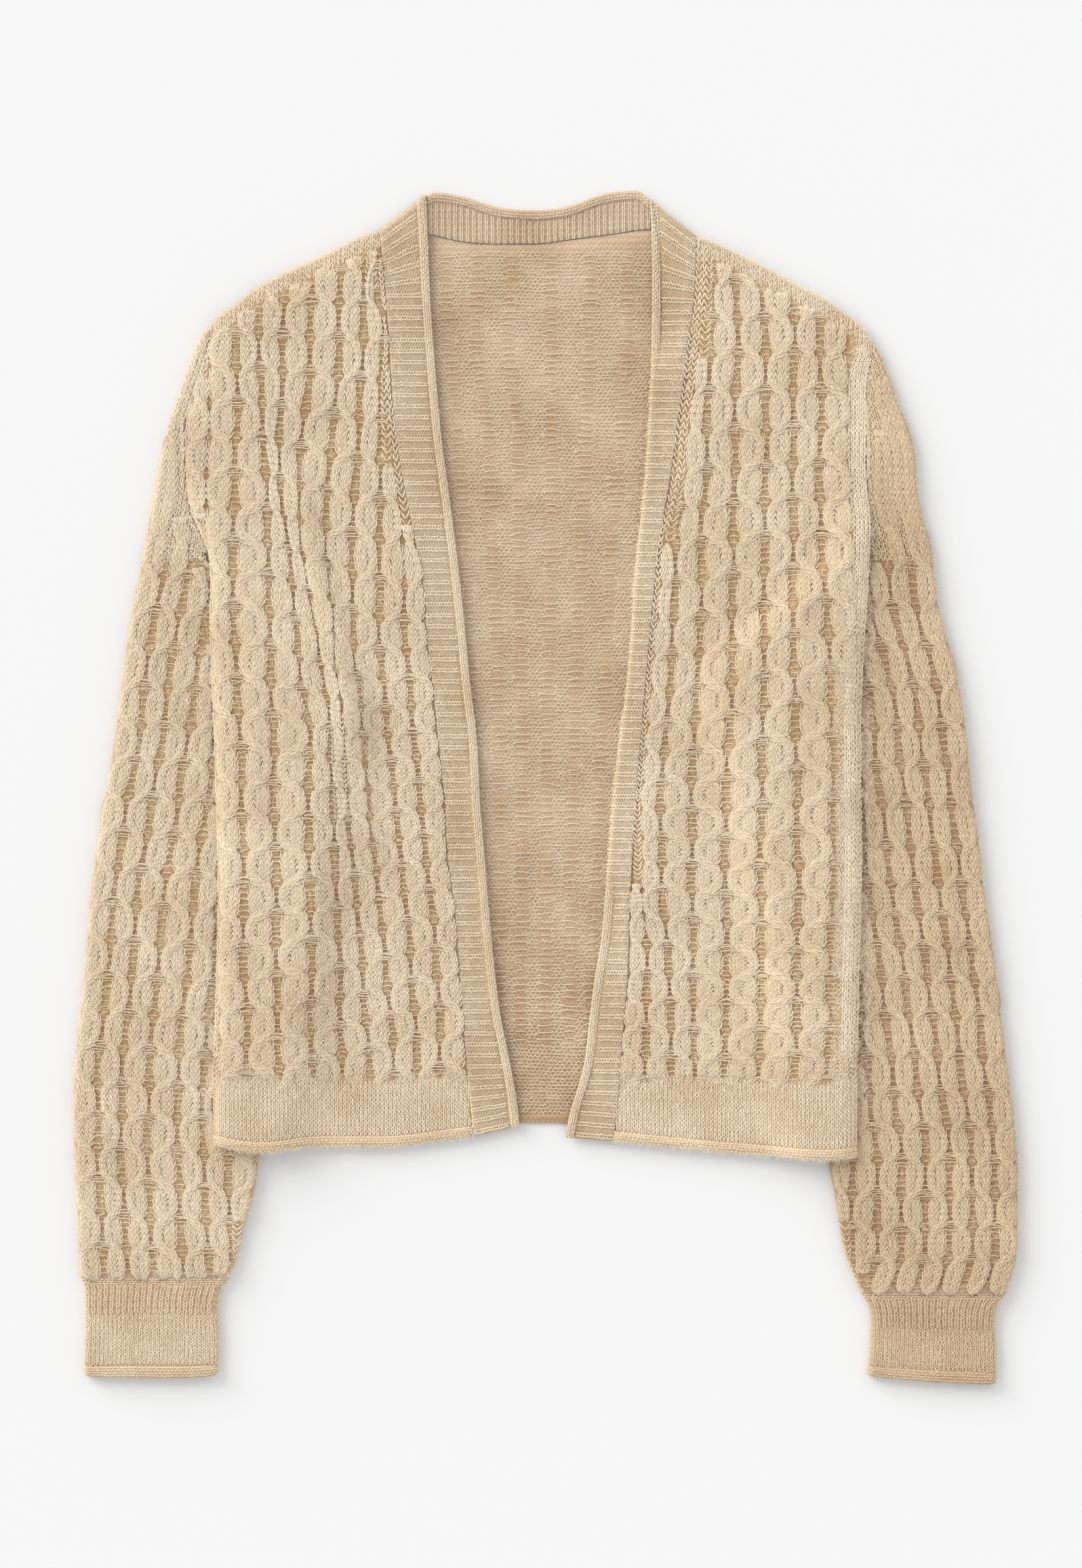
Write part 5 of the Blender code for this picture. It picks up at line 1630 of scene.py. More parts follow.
@dataclass
class Back:
    """The back, seen from its purl side in the opening between the fronts."""

    material: bpy.types.Material
    chance: Chance
    columns: int = 44
    rows: int = 72
    wale: float = 2.7
    course: float = 2.05
    rung: float = 4.1  # from one wide rung to the next
    column: float = 3.6  # half width of a ladder's column
    span: Span = (-100.0, 96.0)  # X of what the opening shows
    rise: Span = (-192.0, 318.0)  # Y of it
    rungs_rise: Span = (-149.0, 316.0)  # Y of the lowest and highest rungs
    fibres: int = 2000

    def edge(self, side: SideTables, y: Array) -> Array:
        """X of the back's edge, tucked inside the front's folded side."""
        return along(side.side, y) - side.sign * np.where(y > LIFT_TOP + 5, 0.0, 1.5)

    def top(self, x: Array) -> Array:
        """Y of the shoulder and neck seam."""
        return along(BACK_TOP, x) - 0.3

    def hem(self, x: Array) -> Array:
        """Y of the hem."""
        return along(BACK_HEM, x)

    def uneven(self, x: Array, y: Array) -> Array:
        """Unevenness of the side that faces up."""
        return 0.3 * wander(x, y, 30.0, 1.7)

    def level(self, x: Array, y: Array) -> Array:
        """Height of the side that faces up."""
        return back_under(x, y) + WALL + self.uneven(x, y)

    def inside(self, x: Array, y: Array) -> Array:
        """Distance inside the part that the opening shows."""
        from_right = x - along(RIGHT.band_inner, y) + 5.0
        from_left = along(LEFT.band_inner, y) - x + 7.0
        return np.minimum.reduce([from_right, from_left, self.top(x) - y, y - self.hem(x) - 4.0])

    def bumps(self, soup: Soup) -> None:
        """Adds rows of purl bumps beside the ladders' columns."""
        across = np.arange(*self.span, self.wale) / self.wale
        place, number = pairs(across, np.arange(*self.rise, self.course) / self.course)
        place = place + 0.5 * (np.round(number) % 2)

        def at(across: Array, along_course: Array, rise: Array) -> Array:
            """Places in wales across and courses up."""
            x, y = across * self.wale, along_course * self.course
            x, y = x + 1.1 * wander(x, y, 21.0, 3.0), y + 1.3 * wander(x, y, 24.0, 8.0)
            return places(x, y, self.level(x, y) + rise - 0.1)

        x, y, _ = at(place, number, 0.0 * place).T
        near = np.minimum.reduce([np.abs(x - column) for column in columns_at(BACK_LADDERS, y)])
        beside = (near > self.column) | (y < self.rungs_rise[0] - 2.0)
        keep = (self.inside(x, y) > 0.5) & beside
        yarn = Yarn(Stitch.PURL, 0.44, 2.4, 0.85)
        work(soup, at, place[keep], number[keep], yarn, self.chance)

    def rungs(self, soup: Soup) -> None:
        """Adds the wide rungs that cross the purl rows in the ladders' columns."""
        share = np.linspace(-1.0, 1.0, 5)[None, :]
        normal = self.chance.normal
        for k in range(1, len(BACK_LADDERS[0])):
            heights = np.arange(*self.rungs_rise, self.rung)
            y = heights + normal(0.0, 0.35, len(heights))
            x = columns_at(BACK_LADDERS, y)[k - 1] + normal(0.0, 0.6, len(y))
            half = 4.4 + 1.3 * np.sin(0.153 * y + 3.1 * k) + normal(0.0, 0.5, len(y))
            kept = (self.inside(x, y) > 1.0) & (half > 2.5)
            x, y, half = x[kept, None], y[kept, None], half[kept, None]
            px = x + share * half
            bow = normal(0.35, 0.35, x.shape) * (1.0 - share**2)
            py = y + bow + normal(0.0, 0.3, x.shape) * share
            pz = self.level(px, py) + 0.5 - 0.7 * share**4
            soup.threads(places(px, py, pz), 0.36, 0.85)

    def cloth(self) -> Piece:
        """The back's wall."""
        x, y = quilt(
            (lambda at: self.edge(RIGHT, at), lambda at: self.edge(LEFT, at)),
            (self.hem, self.top),
            np.linspace(0.0, 1.0, self.columns),
            np.array((0.0, 0.5, 1.5, 3.0, 4.6, 5.6, 6.4, 8.0)),
            self.rows,
        )
        under = back_under(x, y)
        top = under + WALL - 0.5 + self.uneven(x, y) + bead(y - self.hem(x), 6.0, 0.7)
        # painted shade under the purl bumps; darker towards the hem
        shade = 0.27 - 0.17 * eased((-80.0 - y) / 80.0)
        soup = Soup()
        soup.walled(places(x, y, top), places(x, y, under + 0.05), shade, stitch_counts(x, y))
        return soup.built("back", self.material)

    def build(self) -> Knitted:
        """Makes the back and what its opening shows."""
        cloth, yarns = self.cloth(), Soup()
        self.bumps(yarns)
        self.rungs(yarns)
        x, y = strewn(self.chance, (-100.0, 95.0), (-195.0, 325.0), 4 * self.fibres)
        kept = np.flatnonzero(self.inside(x, y) > 0.0)[: self.fibres]
        x, y = x[kept], y[kept]
        Fibres((3.0, 10.0), 1.6).strew(yarns, places(x, y, self.level(x, y)), self.chance)
        pieces = [yarns.built("back_stitches", self.material)]
        return Knitted("back_panel", cloth, pieces, (0.400, 0.540), 0.200, ["floor"])


# ---- sleeves


@dataclass
class Sleeve(Cabled):
    """One sleeve: a flattened tube with cables between ladders, plain at its cap."""

    side: SideTables
    lay: SleeveLay
    material: bpy.types.Material
    chance: Chance
    rows: tuple[int, int] = (66, 26)  # below and above the armhole's end
    tops: int = 32
    lows: int = 10
    wall: float = 1.1
    cap: float = 128.0  # Y where the cables start to end
    fibres: int = 8000
    edge_fibres: int = 1800

    def __post_init__(self) -> None:
        """Names the sleeve."""
        self.name = f"sleeve_{self.side.name}"

    def lines(self, y: Array) -> Array:
        """X of the curves at heights y, from -X."""
        s = self.side
        outer, inner = self.lay.edges(y)
        width = np.abs(inner - outer)
        count = len(s.sleeve_ladders)
        offsets = enumerate(s.sleeve_ladders)
        room = [np.minimum(offset, width - 1.0 - 0.6 * (count - k)) for k, offset in offsets]
        curves = [outer] + [outer - s.sign * offset for offset in room] + [inner]
        return np.stack(curves if s.sign < 0 else curves[::-1])

    def waist(self, number: Array, x: Array) -> Array:
        """Y of a cable number, before the courses' slope."""
        tilt = self.side.sleeve_tilt * self.side.sign * 240.0
        return along(self.side.sleeve_waists, number, True) + tilt

    def inside(self, x: Array, y: Array) -> Array:
        """Distance inside the part that shows."""
        s = self.side
        outer, inner = self.lay.edges(y)
        free = np.maximum(self.lay.clear(x, y), along(s.hem, x) + 1.0 - y) + 1.5
        ends = np.minimum(y - s.sleeve_end + 0.4, s.outer[0][0] + 1.0 - y)
        from_outer, from_inner = (outer - x) * s.sign + 0.8, (x - inner) * s.sign + 0.8
        return np.minimum.reduce([free, ends, from_outer, from_inner])

    def lift(self, x: Array, y: Array) -> Array:
        """The pattern flattens beside the body and over the rounded edge."""
        outer, _ = self.lay.edges(y)
        beside = 0.45 + 0.55 * quarter_round((outer - x) * self.side.sign, 5.0)
        ending = 0.3 + 0.7 * eased((y - self.side.sleeve_end) / 6.0)
        return self.lay.shown(x, y) * beside * ending

    def cabled(self, x: Array, y: Array) -> Array:
        """1 where there are cables, 0 in the cap."""
        return 1.0 - eased((y - self.cap) / 40.0)

    def cloth(self) -> Piece:
        """The tube under the cables, round at both edges but at full height at the armhole."""
        s = self.side
        below = np.linspace(s.sleeve_end + SEAM_Y, LIFT_FULL - 2.0, self.rows[0])
        above = np.linspace(LIFT_FULL + 1.0, s.outer[0][0] - 0.6, self.rows[1])
        y = np.concatenate([below, above])[:, None]
        outer, inner = self.lay.edges(y)
        t = around(self.tops, self.lows)
        x, yy = outer + (inner - outer) * t, y + 0.0 * t
        width = np.abs(inner - outer)
        off = np.minimum(t * width, np.where(y > LIFT_FULL, FAR, (1.0 - t) * width))
        middle = 0.5 * SLEEVE_HIGH
        low = middle * (1.0 - quarter_round(off, self.lay.edge_round))
        on_top = np.arange(t.shape[1]) < self.tops
        z = np.where(on_top, self.lay.top(x, yy) - 0.8, low)
        core = self.wall / np.maximum(width, 4.0 * self.wall)
        xi = outer + (inner - outer) * (core + t * (1.0 - 2.0 * core))
        zi = middle + (z - middle) * (1.0 - self.wall / middle)
        # painted shade: the tube is dark under the cables, lighter by the cuff seam and in the cap
        shade = 0.05 + 0.3 * eased((s.sleeve_end + 6.0 - yy) / 5.0)
        shade = shade + 0.25 * eased((yy - 140.0) / 30.0)
        soup, order = Soup(), turning(s)
        soup.walled(
            places(x, yy, z)[:, order],
            places(xi, yy, zi)[:, order],
            shade,
            stitch_counts(x, yy),
            ring=True,
        )
        return soup.built(f"{self.name}_tube", self.material)

    def build(self) -> Knitted:
        """Makes the sleeve and its cables."""
        s = self.side
        cloth = self.cloth()
        tops = (OPEN,) + (165,) * len(s.sleeve_ladders) + (OPEN,)
        span = (-3.0, s.sleeve_waists[-1][0] + 0.3)
        panel = CablePanel(self, tops, s.sleeve_parity, span, slope=s.sleeve_tilt, settles=True)
        pieces = self.worked(panel)
        return Knitted(self.name, cloth, pieces, (0.216, 0.560), 0.088, ["floor"])

    def finish(self, soup: Soup, panel: CablePanel) -> None:
        """Adds the cap's knitting, then fibres all over what shows and along the outer edge."""
        s = self.side
        self.cap_knitting(soup)
        across, high = (165.0, 282.0), (s.sleeve_end, 265.0)
        x, y = strewn(self.chance, across, high, SPARE * self.fibres)
        x = s.sign * x
        kept = np.flatnonzero(self.inside(x, y) > 0.0)[: self.fibres]
        self.fuzz(soup, Fibres((2.5, 7.0), 1.6), x, y, kept)
        high = (s.sleeve_end, s.outer[0][0] - 1.0)
        y, inset = strewn(self.chance, high, (0.0, 1.2), self.edge_fibres)
        x = along(s.outer, y) - s.sign * inset
        self.fuzz(soup, Fibres(*EDGE, sink=2.4), x, y, np.full(len(x), True))

    def cap_knitting(self, soup: Soup, pitch: float = 2.8, course: float = 3.2) -> None:
        """Adds the plain wales of the cap, which follow its outer edge.

        Args:
            soup: where the stitches go.
            pitch: from one wale to the next.
            course: from one course to the next.
        """
        s = self.side
        courses = np.arange(self.cap + 8.0, s.outer[0][0], course) / course
        place, number = pairs(np.arange(0.5, 22.0), courses)

        def at(across: Array, along_course: Array, rise: Array) -> Array:
            """Places in wales from the outer edge and courses up."""
            y = along_course * course
            x = along(s.outer, y) - s.sign * across * pitch
            return places(x, y, self.lay.top(x, y) - 0.2 + rise)

        x, y, _ = at(place, number, 0.0 * place).T
        keep = (self.inside(x, y) > 0.8) & (self.cabled(x, y) < 0.9)
        yarn = Yarn(Stitch.FINE, 0.46, 1.4, 0.85)
        work(soup, at, place[keep], number[keep], yarn, self.chance)


# ---- cuffs


@dataclass
class Cuff:
    """One cuff: a flattened ring with ribs below the sleeve, plain knitting and a rolled end."""

    side: SideTables
    material: bpy.types.Material
    chance: Chance
    high: float = 6.2
    edge_round: float = 3.1
    wall: float = 1.1
    rib: float = 3.6  # from one rib to the next
    wale: float = 2.5
    course: float = 1.9
    dash: float = 2.1  # from one stitch to the next on the roll and the seam
    ribbed: float = 20.0  # depth of the ribs
    roll: float = 7.0  # depth of the rolled end
    tops: int = 40
    lows: int = 14
    fibres: int = 500

    def __post_init__(self) -> None:
        """Measures the flat cuff: where it starts, how long and how wide it is."""
        s = self.side
        self.start = s.sleeve_end - SEAM_Y
        self.length = self.start - float(np.mean(s.cuff_end))
        self.width = abs(float(along(s.cuff_outer, -331.0) - along(s.cuff_inner, -331.0)))

    def frame_at(self, t: Array, depth: Array) -> tuple[Array, Array]:
        """X and Y at a share across from the outer edge and a depth below the seam."""
        s, start = self.side, self.start
        ends = [start - (start - end) * depth / (start - np.mean(s.cuff_end)) for end in s.cuff_end]
        x_out, x_in = along(s.cuff_outer, ends[0]), along(s.cuff_inner, ends[1])
        corner = 1.6 * (2.0 * t - 1.0) ** 8 * eased((depth - self.length + 8.0) / 8.0)
        stray = eased(depth / 20.0) * wander(60.0 * t, depth, 15.0, 4.0 + s.sign)
        x = x_out + (x_in - x_out) * t + 0.5 * stray
        return x, ends[0] + (ends[1] - ends[0]) * t + corner + 0.8 * stray

    def rise(self, t: Array, depth: Array) -> Array:
        """Height of the upper side: rounded at both edges, with a roll at the end."""
        rounded = quarter_round(np.minimum(t, 1.0 - t) * self.width, self.edge_round)
        end = self.length - depth
        roll = np.where(end < self.roll + 2.0, bead(end, self.roll, 1.4), 0.0)
        extra = roll - 0.3 * np.exp(-((depth / 1.2) ** 2))
        soft = 0.35 * wander(60.0 * t + self.side.sign, depth, 17.0, 2.0)
        return 0.5 * self.high * (1.0 + rounded) + (extra + soft) * rounded

    def cloth(self) -> Piece:
        """The ring under the stitches."""
        even = np.linspace(0.0, self.length - self.roll - 1.0, 16)
        close = self.length - np.array((7.3, 6.9, 6.2, 5.0, 3.5, 2.0, 0.9, 0.3, 0.0))
        t = around(self.tops, self.lows)
        depth = np.concatenate([even, close])[::-1, None] + 0.0 * t
        t = t + 0.0 * depth
        x, y = self.frame_at(t, depth)
        middle = 0.5 * self.high
        off = np.minimum(t, 1.0 - t) * self.width
        low = middle * (1.0 - quarter_round(off, self.edge_round))
        on_top = np.arange(t.shape[1]) < self.tops
        z = np.where(on_top, self.rise(t, depth) - 0.4, low)
        core = self.wall / self.width
        xi, yi = self.frame_at(core + t * (1.0 - 2.0 * core), depth)
        inner = places(xi, yi, middle + (z - middle) * 0.6)
        soup, order = Soup(), turning(self.side)
        outer = places(x, y, z)
        # painted shade: the ring is dark under its stitches
        soup.walled(outer[:, order], inner[:, order], 0.22, stitch_counts(x, y), ring=True)
        return soup.built(f"cuff_{self.side.name}_ring", self.material)

    def build(self) -> Knitted:
        """Makes the cuff."""
        name = f"cuff_{self.side.name}"
        cloth, yarns = self.cloth(), Soup()
        self.knit(yarns)
        self.fuzz(yarns)
        pieces = [yarns.built(f"{name}_stitches", self.material)]
        return Knitted(name, cloth, pieces, (0.160, 0.058), 0.0092, ["floor"])

    def wales(self, soup: Soup, pitch: float, wide: float, span: Array, raised: float) -> None:
        """Adds upright wales of knit stitches.

        Args:
            soup: where they go.
            pitch: from one wale to the next.
            wide: width of a wale.
            span: depths where they start and end.
            raised: how far they stand off the cloth.
        """
        across = np.arange(1.6, self.width - 1.4, pitch)
        place, depth = pairs(across, np.arange(*span, self.course))

        def at(a: Array, b: Array, c: Array) -> Array:
            """Places on the cuff: wales across, courses up and the rise."""
            t = np.clip(a * wide / self.width, 0.0, 1.0)
            x, y = self.frame_at(t, -b * self.course)
            return places(x, y, self.rise(t, -b * self.course) + raised + c)

        yarn = Yarn(Stitch.FINE, 0.36, 1.6, 0.85)
        work(soup, at, place / wide, -depth / self.course, yarn, self.chance)

    def dashes(self, soup: Soup, start: float, end: float, step: float) -> None:
        """Adds rows of short purl stitches.

        Args:
            soup: where they go.
            start: depth of the first row.
            end: depth before which the last one lies.
            step: from one row to the next.
        """
        yarn = Yarn(Stitch.DASH, 0.48, 1.8, 0.75)
        for row, depth in enumerate(np.arange(start, end, step)):
            across = np.arange(1.2, self.width - 1.0, self.dash) + 0.5 * (row % 2) * self.dash

            def at(a: Array, b: Array, c: Array) -> Array:
                """Places on the seam or the roll: stitches across, up and the rise."""
                t = np.clip(a * self.dash / self.width, 0.0, 1.0)
                x, y = self.frame_at(t, depth - b * DASH_LONG)
                return places(x, y, self.rise(t, depth - b * DASH_LONG) + c)

            work(soup, at, across / self.dash, np.zeros(len(across)), yarn, self.chance)

    def knit(self, soup: Soup) -> None:
        """Adds ribs, plain wales, the seam's stitches and the roll's."""
        plain = (self.ribbed + 0.6, self.length - self.roll - 0.6)
        self.wales(soup, self.rib, 2.5, (3.4, self.ribbed), 0.55)
        self.wales(soup, self.wale, self.wale, plain, 0.0)
        self.dashes(soup, -0.3, 2.6, 1.2)
        self.dashes(soup, self.length - 6.2, self.length - 0.2, 1.55)

    def fuzz(self, soup: Soup) -> None:
        """Adds loose fibres on the upper side, then along both edges and the end."""
        t, depth = strewn(self.chance, (0.03, 0.97), (0.0, self.length), self.fibres)
        spots = places(*self.frame_at(t, depth), np.full(self.fibres, self.high))
        Fibres((2.0, 6.0), 1.2, sink=1.4, width=0.12).strew(soup, spots, self.chance)
        third = np.arange(self.fibres) % 3
        t = np.where(third == 0, 0.004, np.where(third == 1, 0.996, t))
        x, y = self.frame_at(t, np.where(third == 2, self.length - 0.5, depth))
        spots = places(x, y, np.full(self.fibres, 0.5 * self.high))
        Fibres(*EDGE, sink=1.0).strew(soup, spots, self.chance)


# ---- bands


@dataclass
class Band:
    """One front band: ribs across it and a rolled inner edge; the left one curls under."""

    side: SideTables
    lay: FrontLay
    material: bpy.types.Material
    chance: Chance
    wide: float = 26.0
    roll: float = 5.0
    curl: float = 2.9  # radius of the part that is turned under
    rib: float = 6.5  # from one rib to the next
    course: float = 1.6
    dash: float = 1.75  # from one stitch to the next on the roll
    rows: int = 150
    fibres: int = 900

    def __post_init__(self) -> None:
        """Reads Y of the band's lower and upper end at its seam."""
        self.low, self.top = self.side.band_outer[-1][0], self.side.band_outer[0][0]

    def width(self, y: Array) -> Array:
        """Width of the band at heights y."""
        return np.abs(along(self.side.band_outer, y) - along(self.side.band_inner, y))

    def curled(self, y: Array) -> Array:
        """1 where the band is turned under at heights y."""
        return eased(along(self.side.band_curl, y))

    def frame_at(self, y: Array, inset: Array) -> tuple[Array, Array, Array]:
        """X, Y and Z on the band's upper side.

        Args:
            y: height of the rib at the seam.
            inset: millimetres from the seam towards the edge.

        Returns:
            X, Y and Z in millimetres.
        """
        s = self.side
        share = (y - self.low) / (self.top - self.low)
        slant = (s.band_inner[-1][0] - self.low) * (1.0 - eased(share * 12.0))
        slant = slant + (s.band_inner[0][0] - self.top) * eased(share * 12.0 - 11.0)
        seam, edge = along(s.band_outer, y), along(s.band_inner, y + slant)
        wide = np.abs(seam - edge)
        across = np.clip(wide - inset, -1.0, wide)  # from the edge
        upper = self.lay.under(seam + s.sign * SEAM, y) + WALL
        lay = back_cover(edge, y) + 0.5 + WALL
        slope = np.clip((across - self.roll) / np.maximum(wide - self.roll, 1.0), 0.0, 1.0)
        rolled = np.where(across < self.roll + 2.0, bead(across, self.roll, 1.1), 0.0)
        flat = lay + (upper - lay) * slope + rolled - 0.4
        off = np.clip(1.0 - across / self.curl, 0.0, 1.0)
        turned = upper - self.curl + self.curl * np.sqrt(1.0 - off * off)
        z = flat + (turned - flat) * self.curled(y)
        leaning = 1.0 - np.clip(across / np.maximum(wide, 1.0), 0.0, 1.0)
        return edge + s.sign * across, y + slant * leaning, z

    def cloth(self) -> Piece:
        """The band's wall, with the part that is turned under."""
        s = self.side
        y = np.linspace(self.low, self.top, self.rows)[:, None]
        share = np.concatenate([np.linspace(0.0, 0.78, 5), np.linspace(0.80, 1.0, 12)])[None, :]
        x, yy, z = self.frame_at(y + 0.0 * share, self.width(y) * share)
        lay = back_cover(x, yy) + 0.35
        curled = self.curled(y)
        fall = np.array((0.35, 0.75, 1.0, 1.0))
        tail = np.array((0.25, 1.2, 3.2, 9.0))
        depth = curled * 2.4 + (1.0 - curled) * 0.3
        under = places(
            x[:, -1:] + s.sign * (tail * curled + 0.05 * (1.0 - curled) * np.arange(4)),
            yy[:, -1:],
            np.maximum(z[:, -1:] - depth * fall, lay[:, -1:] + 0.1),
        )
        outer = np.concatenate([places(x, yy, z), under], axis=1)
        inner = outer.copy()
        columns = x.shape[1]
        inner[:, :columns, 2] -= np.minimum(1.3, np.maximum(z - lay, 0.25))
        inner[:, columns - 1 :, 0] += s.sign * 0.9
        inner[:, -3:, 2] += 0.9 * curled + 0.1 * (1 - curled)
        soup = Soup()
        counts = stitch_counts(outer[..., 0], outer[..., 1])
        # painted shade: the wall is dark under the ribs
        soup.walled(outer, inner, 0.27, counts, turned=s.sign > 0)
        return soup.built(f"band_{s.name}", self.material)

    def build(self) -> Knitted:
        """Makes the band and its ribs."""
        s = self.side
        yarns = Soup()
        self.wales(yarns, 0.0, 3.1, Yarn(Stitch.FINE, 0.44, 1.0, 0.85), 0.8)
        # painted shade: the recessed purl wales between the ribs are darker
        for offset, lean in ((2.3, 0.0), (3.4, 0.5), (4.5, 0.0)):
            self.wales(yarns, offset, 1.4, Yarn(Stitch.PURL, 0.42, 1.0, 0.6), 0.3, lean)
        self.edge_stitches(yarns)
        y, inset = strewn(self.chance, (self.low, self.top), (0.0, self.wide - 2.0), self.fibres)
        fibres = Fibres((2.0, 6.0), 1.0, sink=1.6, width=0.12)
        fibres.strew(yarns, places(*self.frame_at(y, inset)), self.chance)
        cloth = self.cloth()
        pieces = [yarns.built(f"band_{s.name}_stitches", self.material)]
        flat, area = (0.034, 0.556), 0.0175
        return Knitted(f"front_band_{s.name}", cloth, pieces, flat, area, ["back_panel"])

    def wales(
        self, soup: Soup, offset: float, wale: float, yarn: Yarn, raised: float, lean: float = 0.0
    ) -> None:
        """Adds one wale to every rib.

        Args:
            soup: where they go.
            offset: from the rib's middle.
            wale: width of the wale.
            yarn: the kind of stitch and its yarn.
            raised: how far the wale stands off the cloth.
            lean: how many courses it is moved along.
        """
        ribs = np.arange(self.low + 2.4, self.top - 1.0, self.rib)
        courses = np.arange(0.7, int((self.wide - 1.0) / self.course))
        place, number = pairs(ribs + offset, courses)
        shown = self.width(place) - (1.4 + self.roll) * (1.0 - self.curled(place)) + 0.6
        keep = number * self.course < shown
        place, number = place[keep], number[keep] + lean

        def at(a: Array, b: Array, c: Array) -> Array:
            """Places on the band: across the rib, from the seam to the edge and the rise."""
            x, y, z = self.frame_at(a * wale, b * self.course)
            return places(x, y, z + raised + c)

        work(soup, at, place / wale, number, yarn, self.chance)

    def edge_stitches(self, soup: Soup) -> None:
        """Adds the purl stitches of the rolled edge where it shows."""
        yarn = Yarn(Stitch.DASH, 0.5, 1.8, 0.95)
        for row, out in enumerate((4.2, 3.0, 1.9, 0.8)):
            y = np.arange(self.low + 0.5, self.top - 0.5, self.dash) + 0.8 * (row % 2)
            y = y[along(self.side.band_curl, y) < 0.35]
            wide = self.width(y)

            def at(a: Array, b: Array, c: Array) -> Array:
                """Places on the roll, stitches lying along it."""
                room = np.interp(a * self.dash, y, wide)
                px, py, pz = self.frame_at(a * self.dash, room - out - b * DASH_LONG)
                return places(px, py, pz + 0.55 + c)

            work(soup, at, y / self.dash, np.zeros(len(y)), yarn, self.chance)


@dataclass
class NeckBand:
    """The band behind the neck, seen from its purl side: upright ribs and a rolled top edge."""

    material: bpy.types.Material
    chance: Chance
    ribs: int = 37
    roll: float = 5.6
    course: float = 1.6
    wale: float = 2.1
    dash: float = 1.9  # from one stitch to the next on the roll

    def seam(self, x: Array) -> Array:
        """Y of the seam to the back."""
        return along(BACK_TOP, x) + 0.3

    def top(self, x: Array) -> Array:
        """Y of the top edge."""
        return along(NECK_TOP, x)

    def level(self, x: Array, y: Array) -> Array:
        """Height of the side that faces up."""
        return WALL - 0.2 + bead(self.top(x) - y, self.roll, 1.1)

    def cloth(self, first: float, last: float) -> Piece:
        """The band's wall, from X to X."""
        across = np.linspace(first, last, 60)[None, :]
        share = np.concatenate([np.linspace(0.0, 0.7, 6), np.linspace(0.73, 1.0, 12)])[:, None]
        seam = self.seam(across)
        y = seam + (self.top(across) - seam) * share
        x = across + 0.0 * y
        outer = places(x, y, self.level(x, y) - 0.3 * (share > 0.99))
        soup = Soup()
        # painted shade: the wall is dark under the ribs
        soup.walled(outer, places(x, y, 0.1), 0.3, stitch_counts(x, y))
        return soup.built("neck_edge", self.material)

    def build(self) -> Knitted:
        """Makes the neck band, from where one front band begins to where the other does."""
        first = float(along(RIGHT.band_inner, 338.0)) - 3.0
        last = float(along(LEFT.band_inner, 338.0)) + 3.0
        yarns = Soup()
        pitch = (last - first) / self.ribs
        middles = first + pitch * (np.arange(self.ribs) + 0.5)

        def at(a: Array, b: Array, c: Array) -> Array:
            """Places on the ribs: wales across, courses up and the rise."""
            x = a * self.wale
            y = self.seam(x) + b * self.course
            return places(x, y, self.level(x, y) + 0.5 + c)

        place, number = pairs(middles, np.arange(0.6, 24.0))
        keep = self.seam(place) + number * self.course < self.top(place) - self.roll - 0.4
        yarn = Yarn(Stitch.FINE, 0.36)
        work(yarns, at, place[keep] / self.wale, number[keep], yarn, self.chance)
        spots = np.arange(first + 0.8, last - 0.6, self.dash) / self.dash
        for out in (4.6, 3.0, 1.4):

            def roll_at(a: Array, b: Array, c: Array) -> Array:
                """Places on the rolled edge."""
                x = a * self.dash
                y = self.top(x) - out + b * DASH_LONG
                return places(x, y, self.level(x, y) + 0.25 + c)

            yarn = Yarn(Stitch.DASH, 0.46, 1.8, 0.95)
            work(yarns, roll_at, spots, np.zeros(len(spots)), yarn, self.chance)
        cloth = self.cloth(first, last)
        pieces = [yarns.built("neck_stitches", self.material)]
        return Knitted("neck_band", cloth, pieces, (0.130, 0.030), 0.0029, ["back_panel"])


# ---- the picture


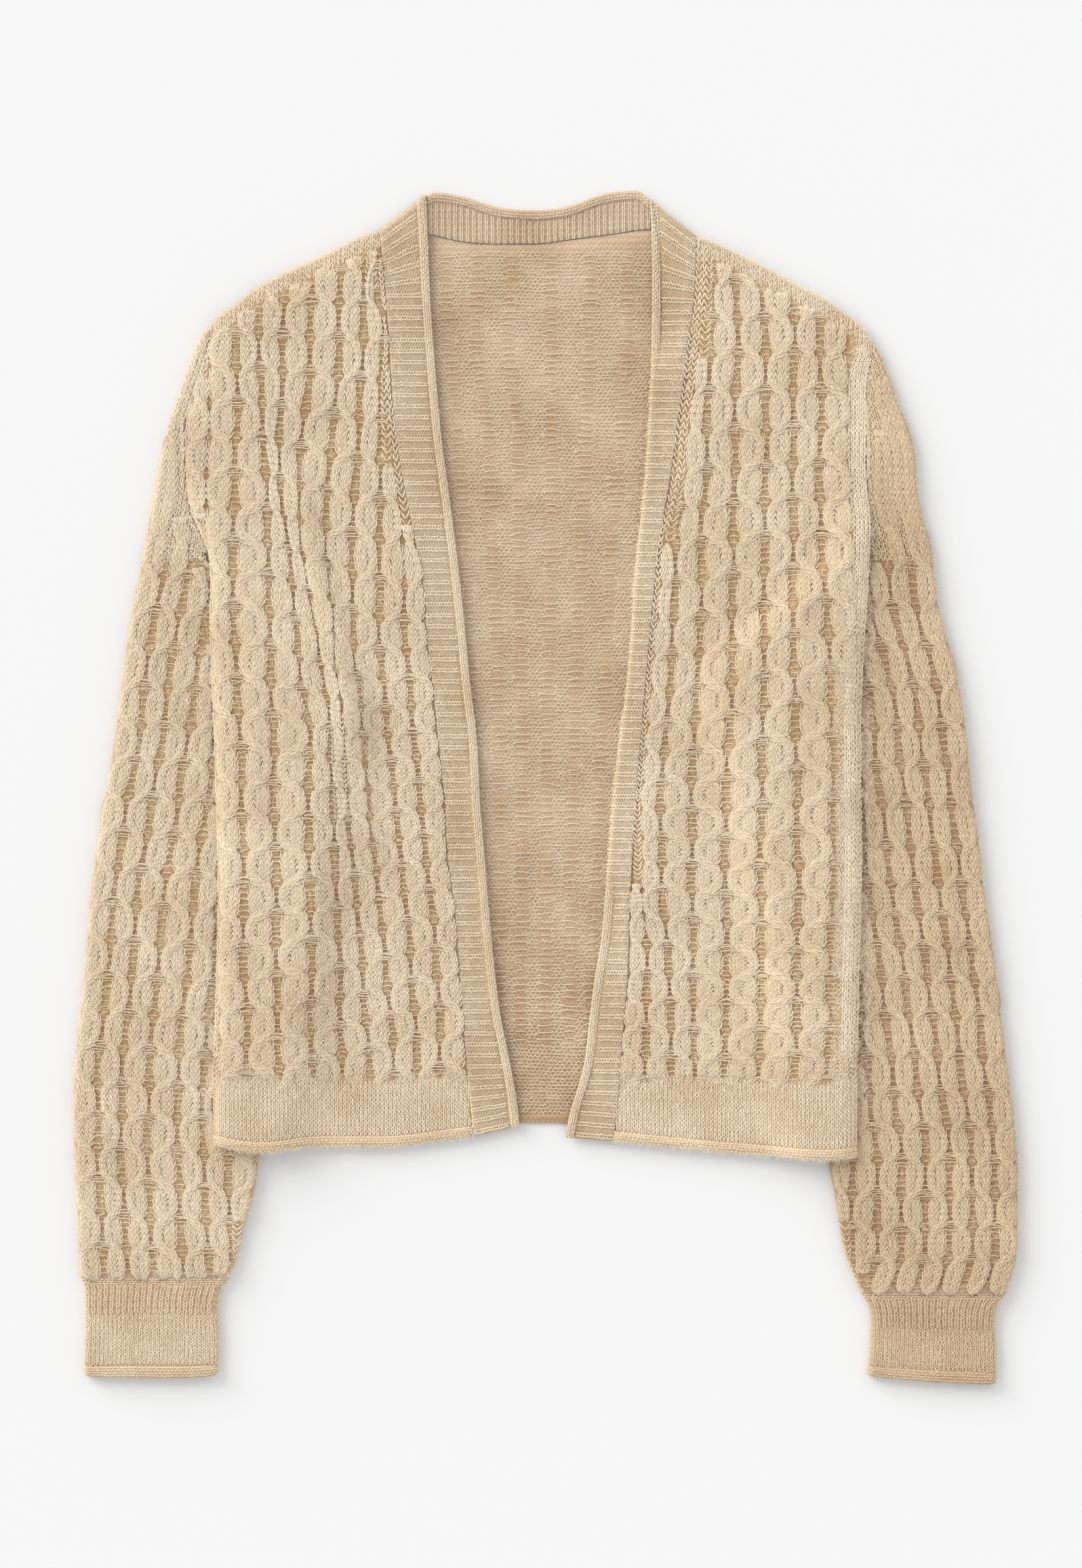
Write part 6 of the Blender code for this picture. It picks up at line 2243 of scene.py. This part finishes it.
@dataclass
class Studio:
    """A pale table seen from above in soft light from the upper left. Lengths are in metres."""

    centre: tuple[float, float] = (-0.00285, 0.00242)
    distance: float = 2.508
    lens: float = 97.28  # mm, on a sensor 36 mm high
    table: str = "#E4E4E4"
    table_half: float = 4.0
    sky: float = 0.9  # strength of the white surroundings
    sun_from: tuple[float, float, float] = (-1.9, 1.6, 1.0)
    sun_spread: float = 42.0  # degrees
    sun_power: float = 2.5

    def build(self) -> None:
        """Makes floor, lamp, world and camera."""
        self.floor()
        self.surroundings()
        self.lamp()
        bpy.context.scene.view_settings.view_transform = "Standard"
        camera = bpy.data.objects.new("camera", bpy.data.cameras.new("camera"))
        camera.location = (*self.centre, self.distance)
        camera.data.sensor_fit = "VERTICAL"
        camera.data.sensor_height = 36.0
        camera.data.lens = self.lens
        bpy.context.scene.collection.objects.link(camera)
        bpy.context.scene.camera = camera

    def floor(self) -> None:
        """Adds the table's top."""
        far = self.table_half
        mesh = bpy.data.meshes.new("floor")
        corners = [(-far, -far, 0), (far, -far, 0), (far, far, 0), (-far, far, 0)]
        mesh.from_pydata(corners, [], [(0, 1, 2, 3)])
        floor = bpy.data.objects.new("floor", mesh)
        bpy.context.scene.collection.objects.link(floor)
        paint = bpy.data.materials.new("table")
        paint.use_nodes = True
        shader = paint.node_tree.nodes["Principled BSDF"]
        shader.inputs["Base Color"].default_value = linear(self.table)
        shader.inputs["Roughness"].default_value = 0.8
        mesh.materials.append(paint)
        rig.stage(floor)

    def surroundings(self) -> None:
        """Sets the white world."""
        world = bpy.data.worlds.new("studio")
        world.use_nodes = True
        background = world.node_tree.nodes["Background"]
        background.inputs["Color"].default_value = linear("#FFFFFF")
        background.inputs["Strength"].default_value = self.sky
        bpy.context.scene.world = world

    def lamp(self) -> None:
        """Adds a distant soft lamp that shines on the garment evenly."""
        light = bpy.data.lights.new("key", "SUN")
        light.angle = math.radians(self.sun_spread)
        light.energy = self.sun_power
        lamp = bpy.data.objects.new("key", light)
        x, y, z = lamp.location = self.sun_from
        turn = math.atan2(y, x) + math.pi / 2
        lamp.rotation_euler = (math.atan2(math.hypot(x, y), z), 0.0, turn)
        bpy.context.scene.collection.objects.link(lamp)


def plain(bounds: Sequence) -> list:
    """Bounds as plain lists."""
    return [[float(v) for v in corner] for corner in bounds]


def main() -> None:
    """Builds the cardigan piece by piece, then the picture."""
    logging.basicConfig(level=logging.INFO, format="%(message)s")
    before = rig.bounds()
    wool = BrushedWool("brushed_wool_yarn", "#A57C4A", "#F6EACF").build()
    # painted shade: the back and neck band take a darker copy of the wool, for the shade between the fronts
    inside_painted_shade_wool = BrushedWool("brushed_wool_inside", "#93693C", "#EEDFC2").build()
    # painted shade: a darker copy of the wool for the left sleeve and cuff, for the shade beside the body
    painted_shade_wool = BrushedWool("brushed_wool_shaded", "#966B3D", "#E9D6B4").build()
    chances = iter(np.random.default_rng(SEED).spawn(12))
    Back(inside_painted_shade_wool, next(chances)).build().declare()
    NeckBand(inside_painted_shade_wool, next(chances)).build().declare()
    for side in SIDES:
        lay = FrontLay(side)
        Front(side, lay, wool, next(chances)).build().declare()
        # painted shade: the left sleeve and cuff take the darker wool
        away = painted_shade_wool if side.sign > 0 else wool
        Sleeve(side, SleeveLay(side), away, next(chances)).build().declare()
        Cuff(side, away, next(chances)).build().declare()
        Band(side, lay, wool, next(chances)).build().declare()
    Studio().build()
    with open("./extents.json", "w", encoding="utf-8") as report:
        json.dump({"before": plain(before), "after": plain(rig.bounds())}, report)


if __name__ == "__main__":
    main()
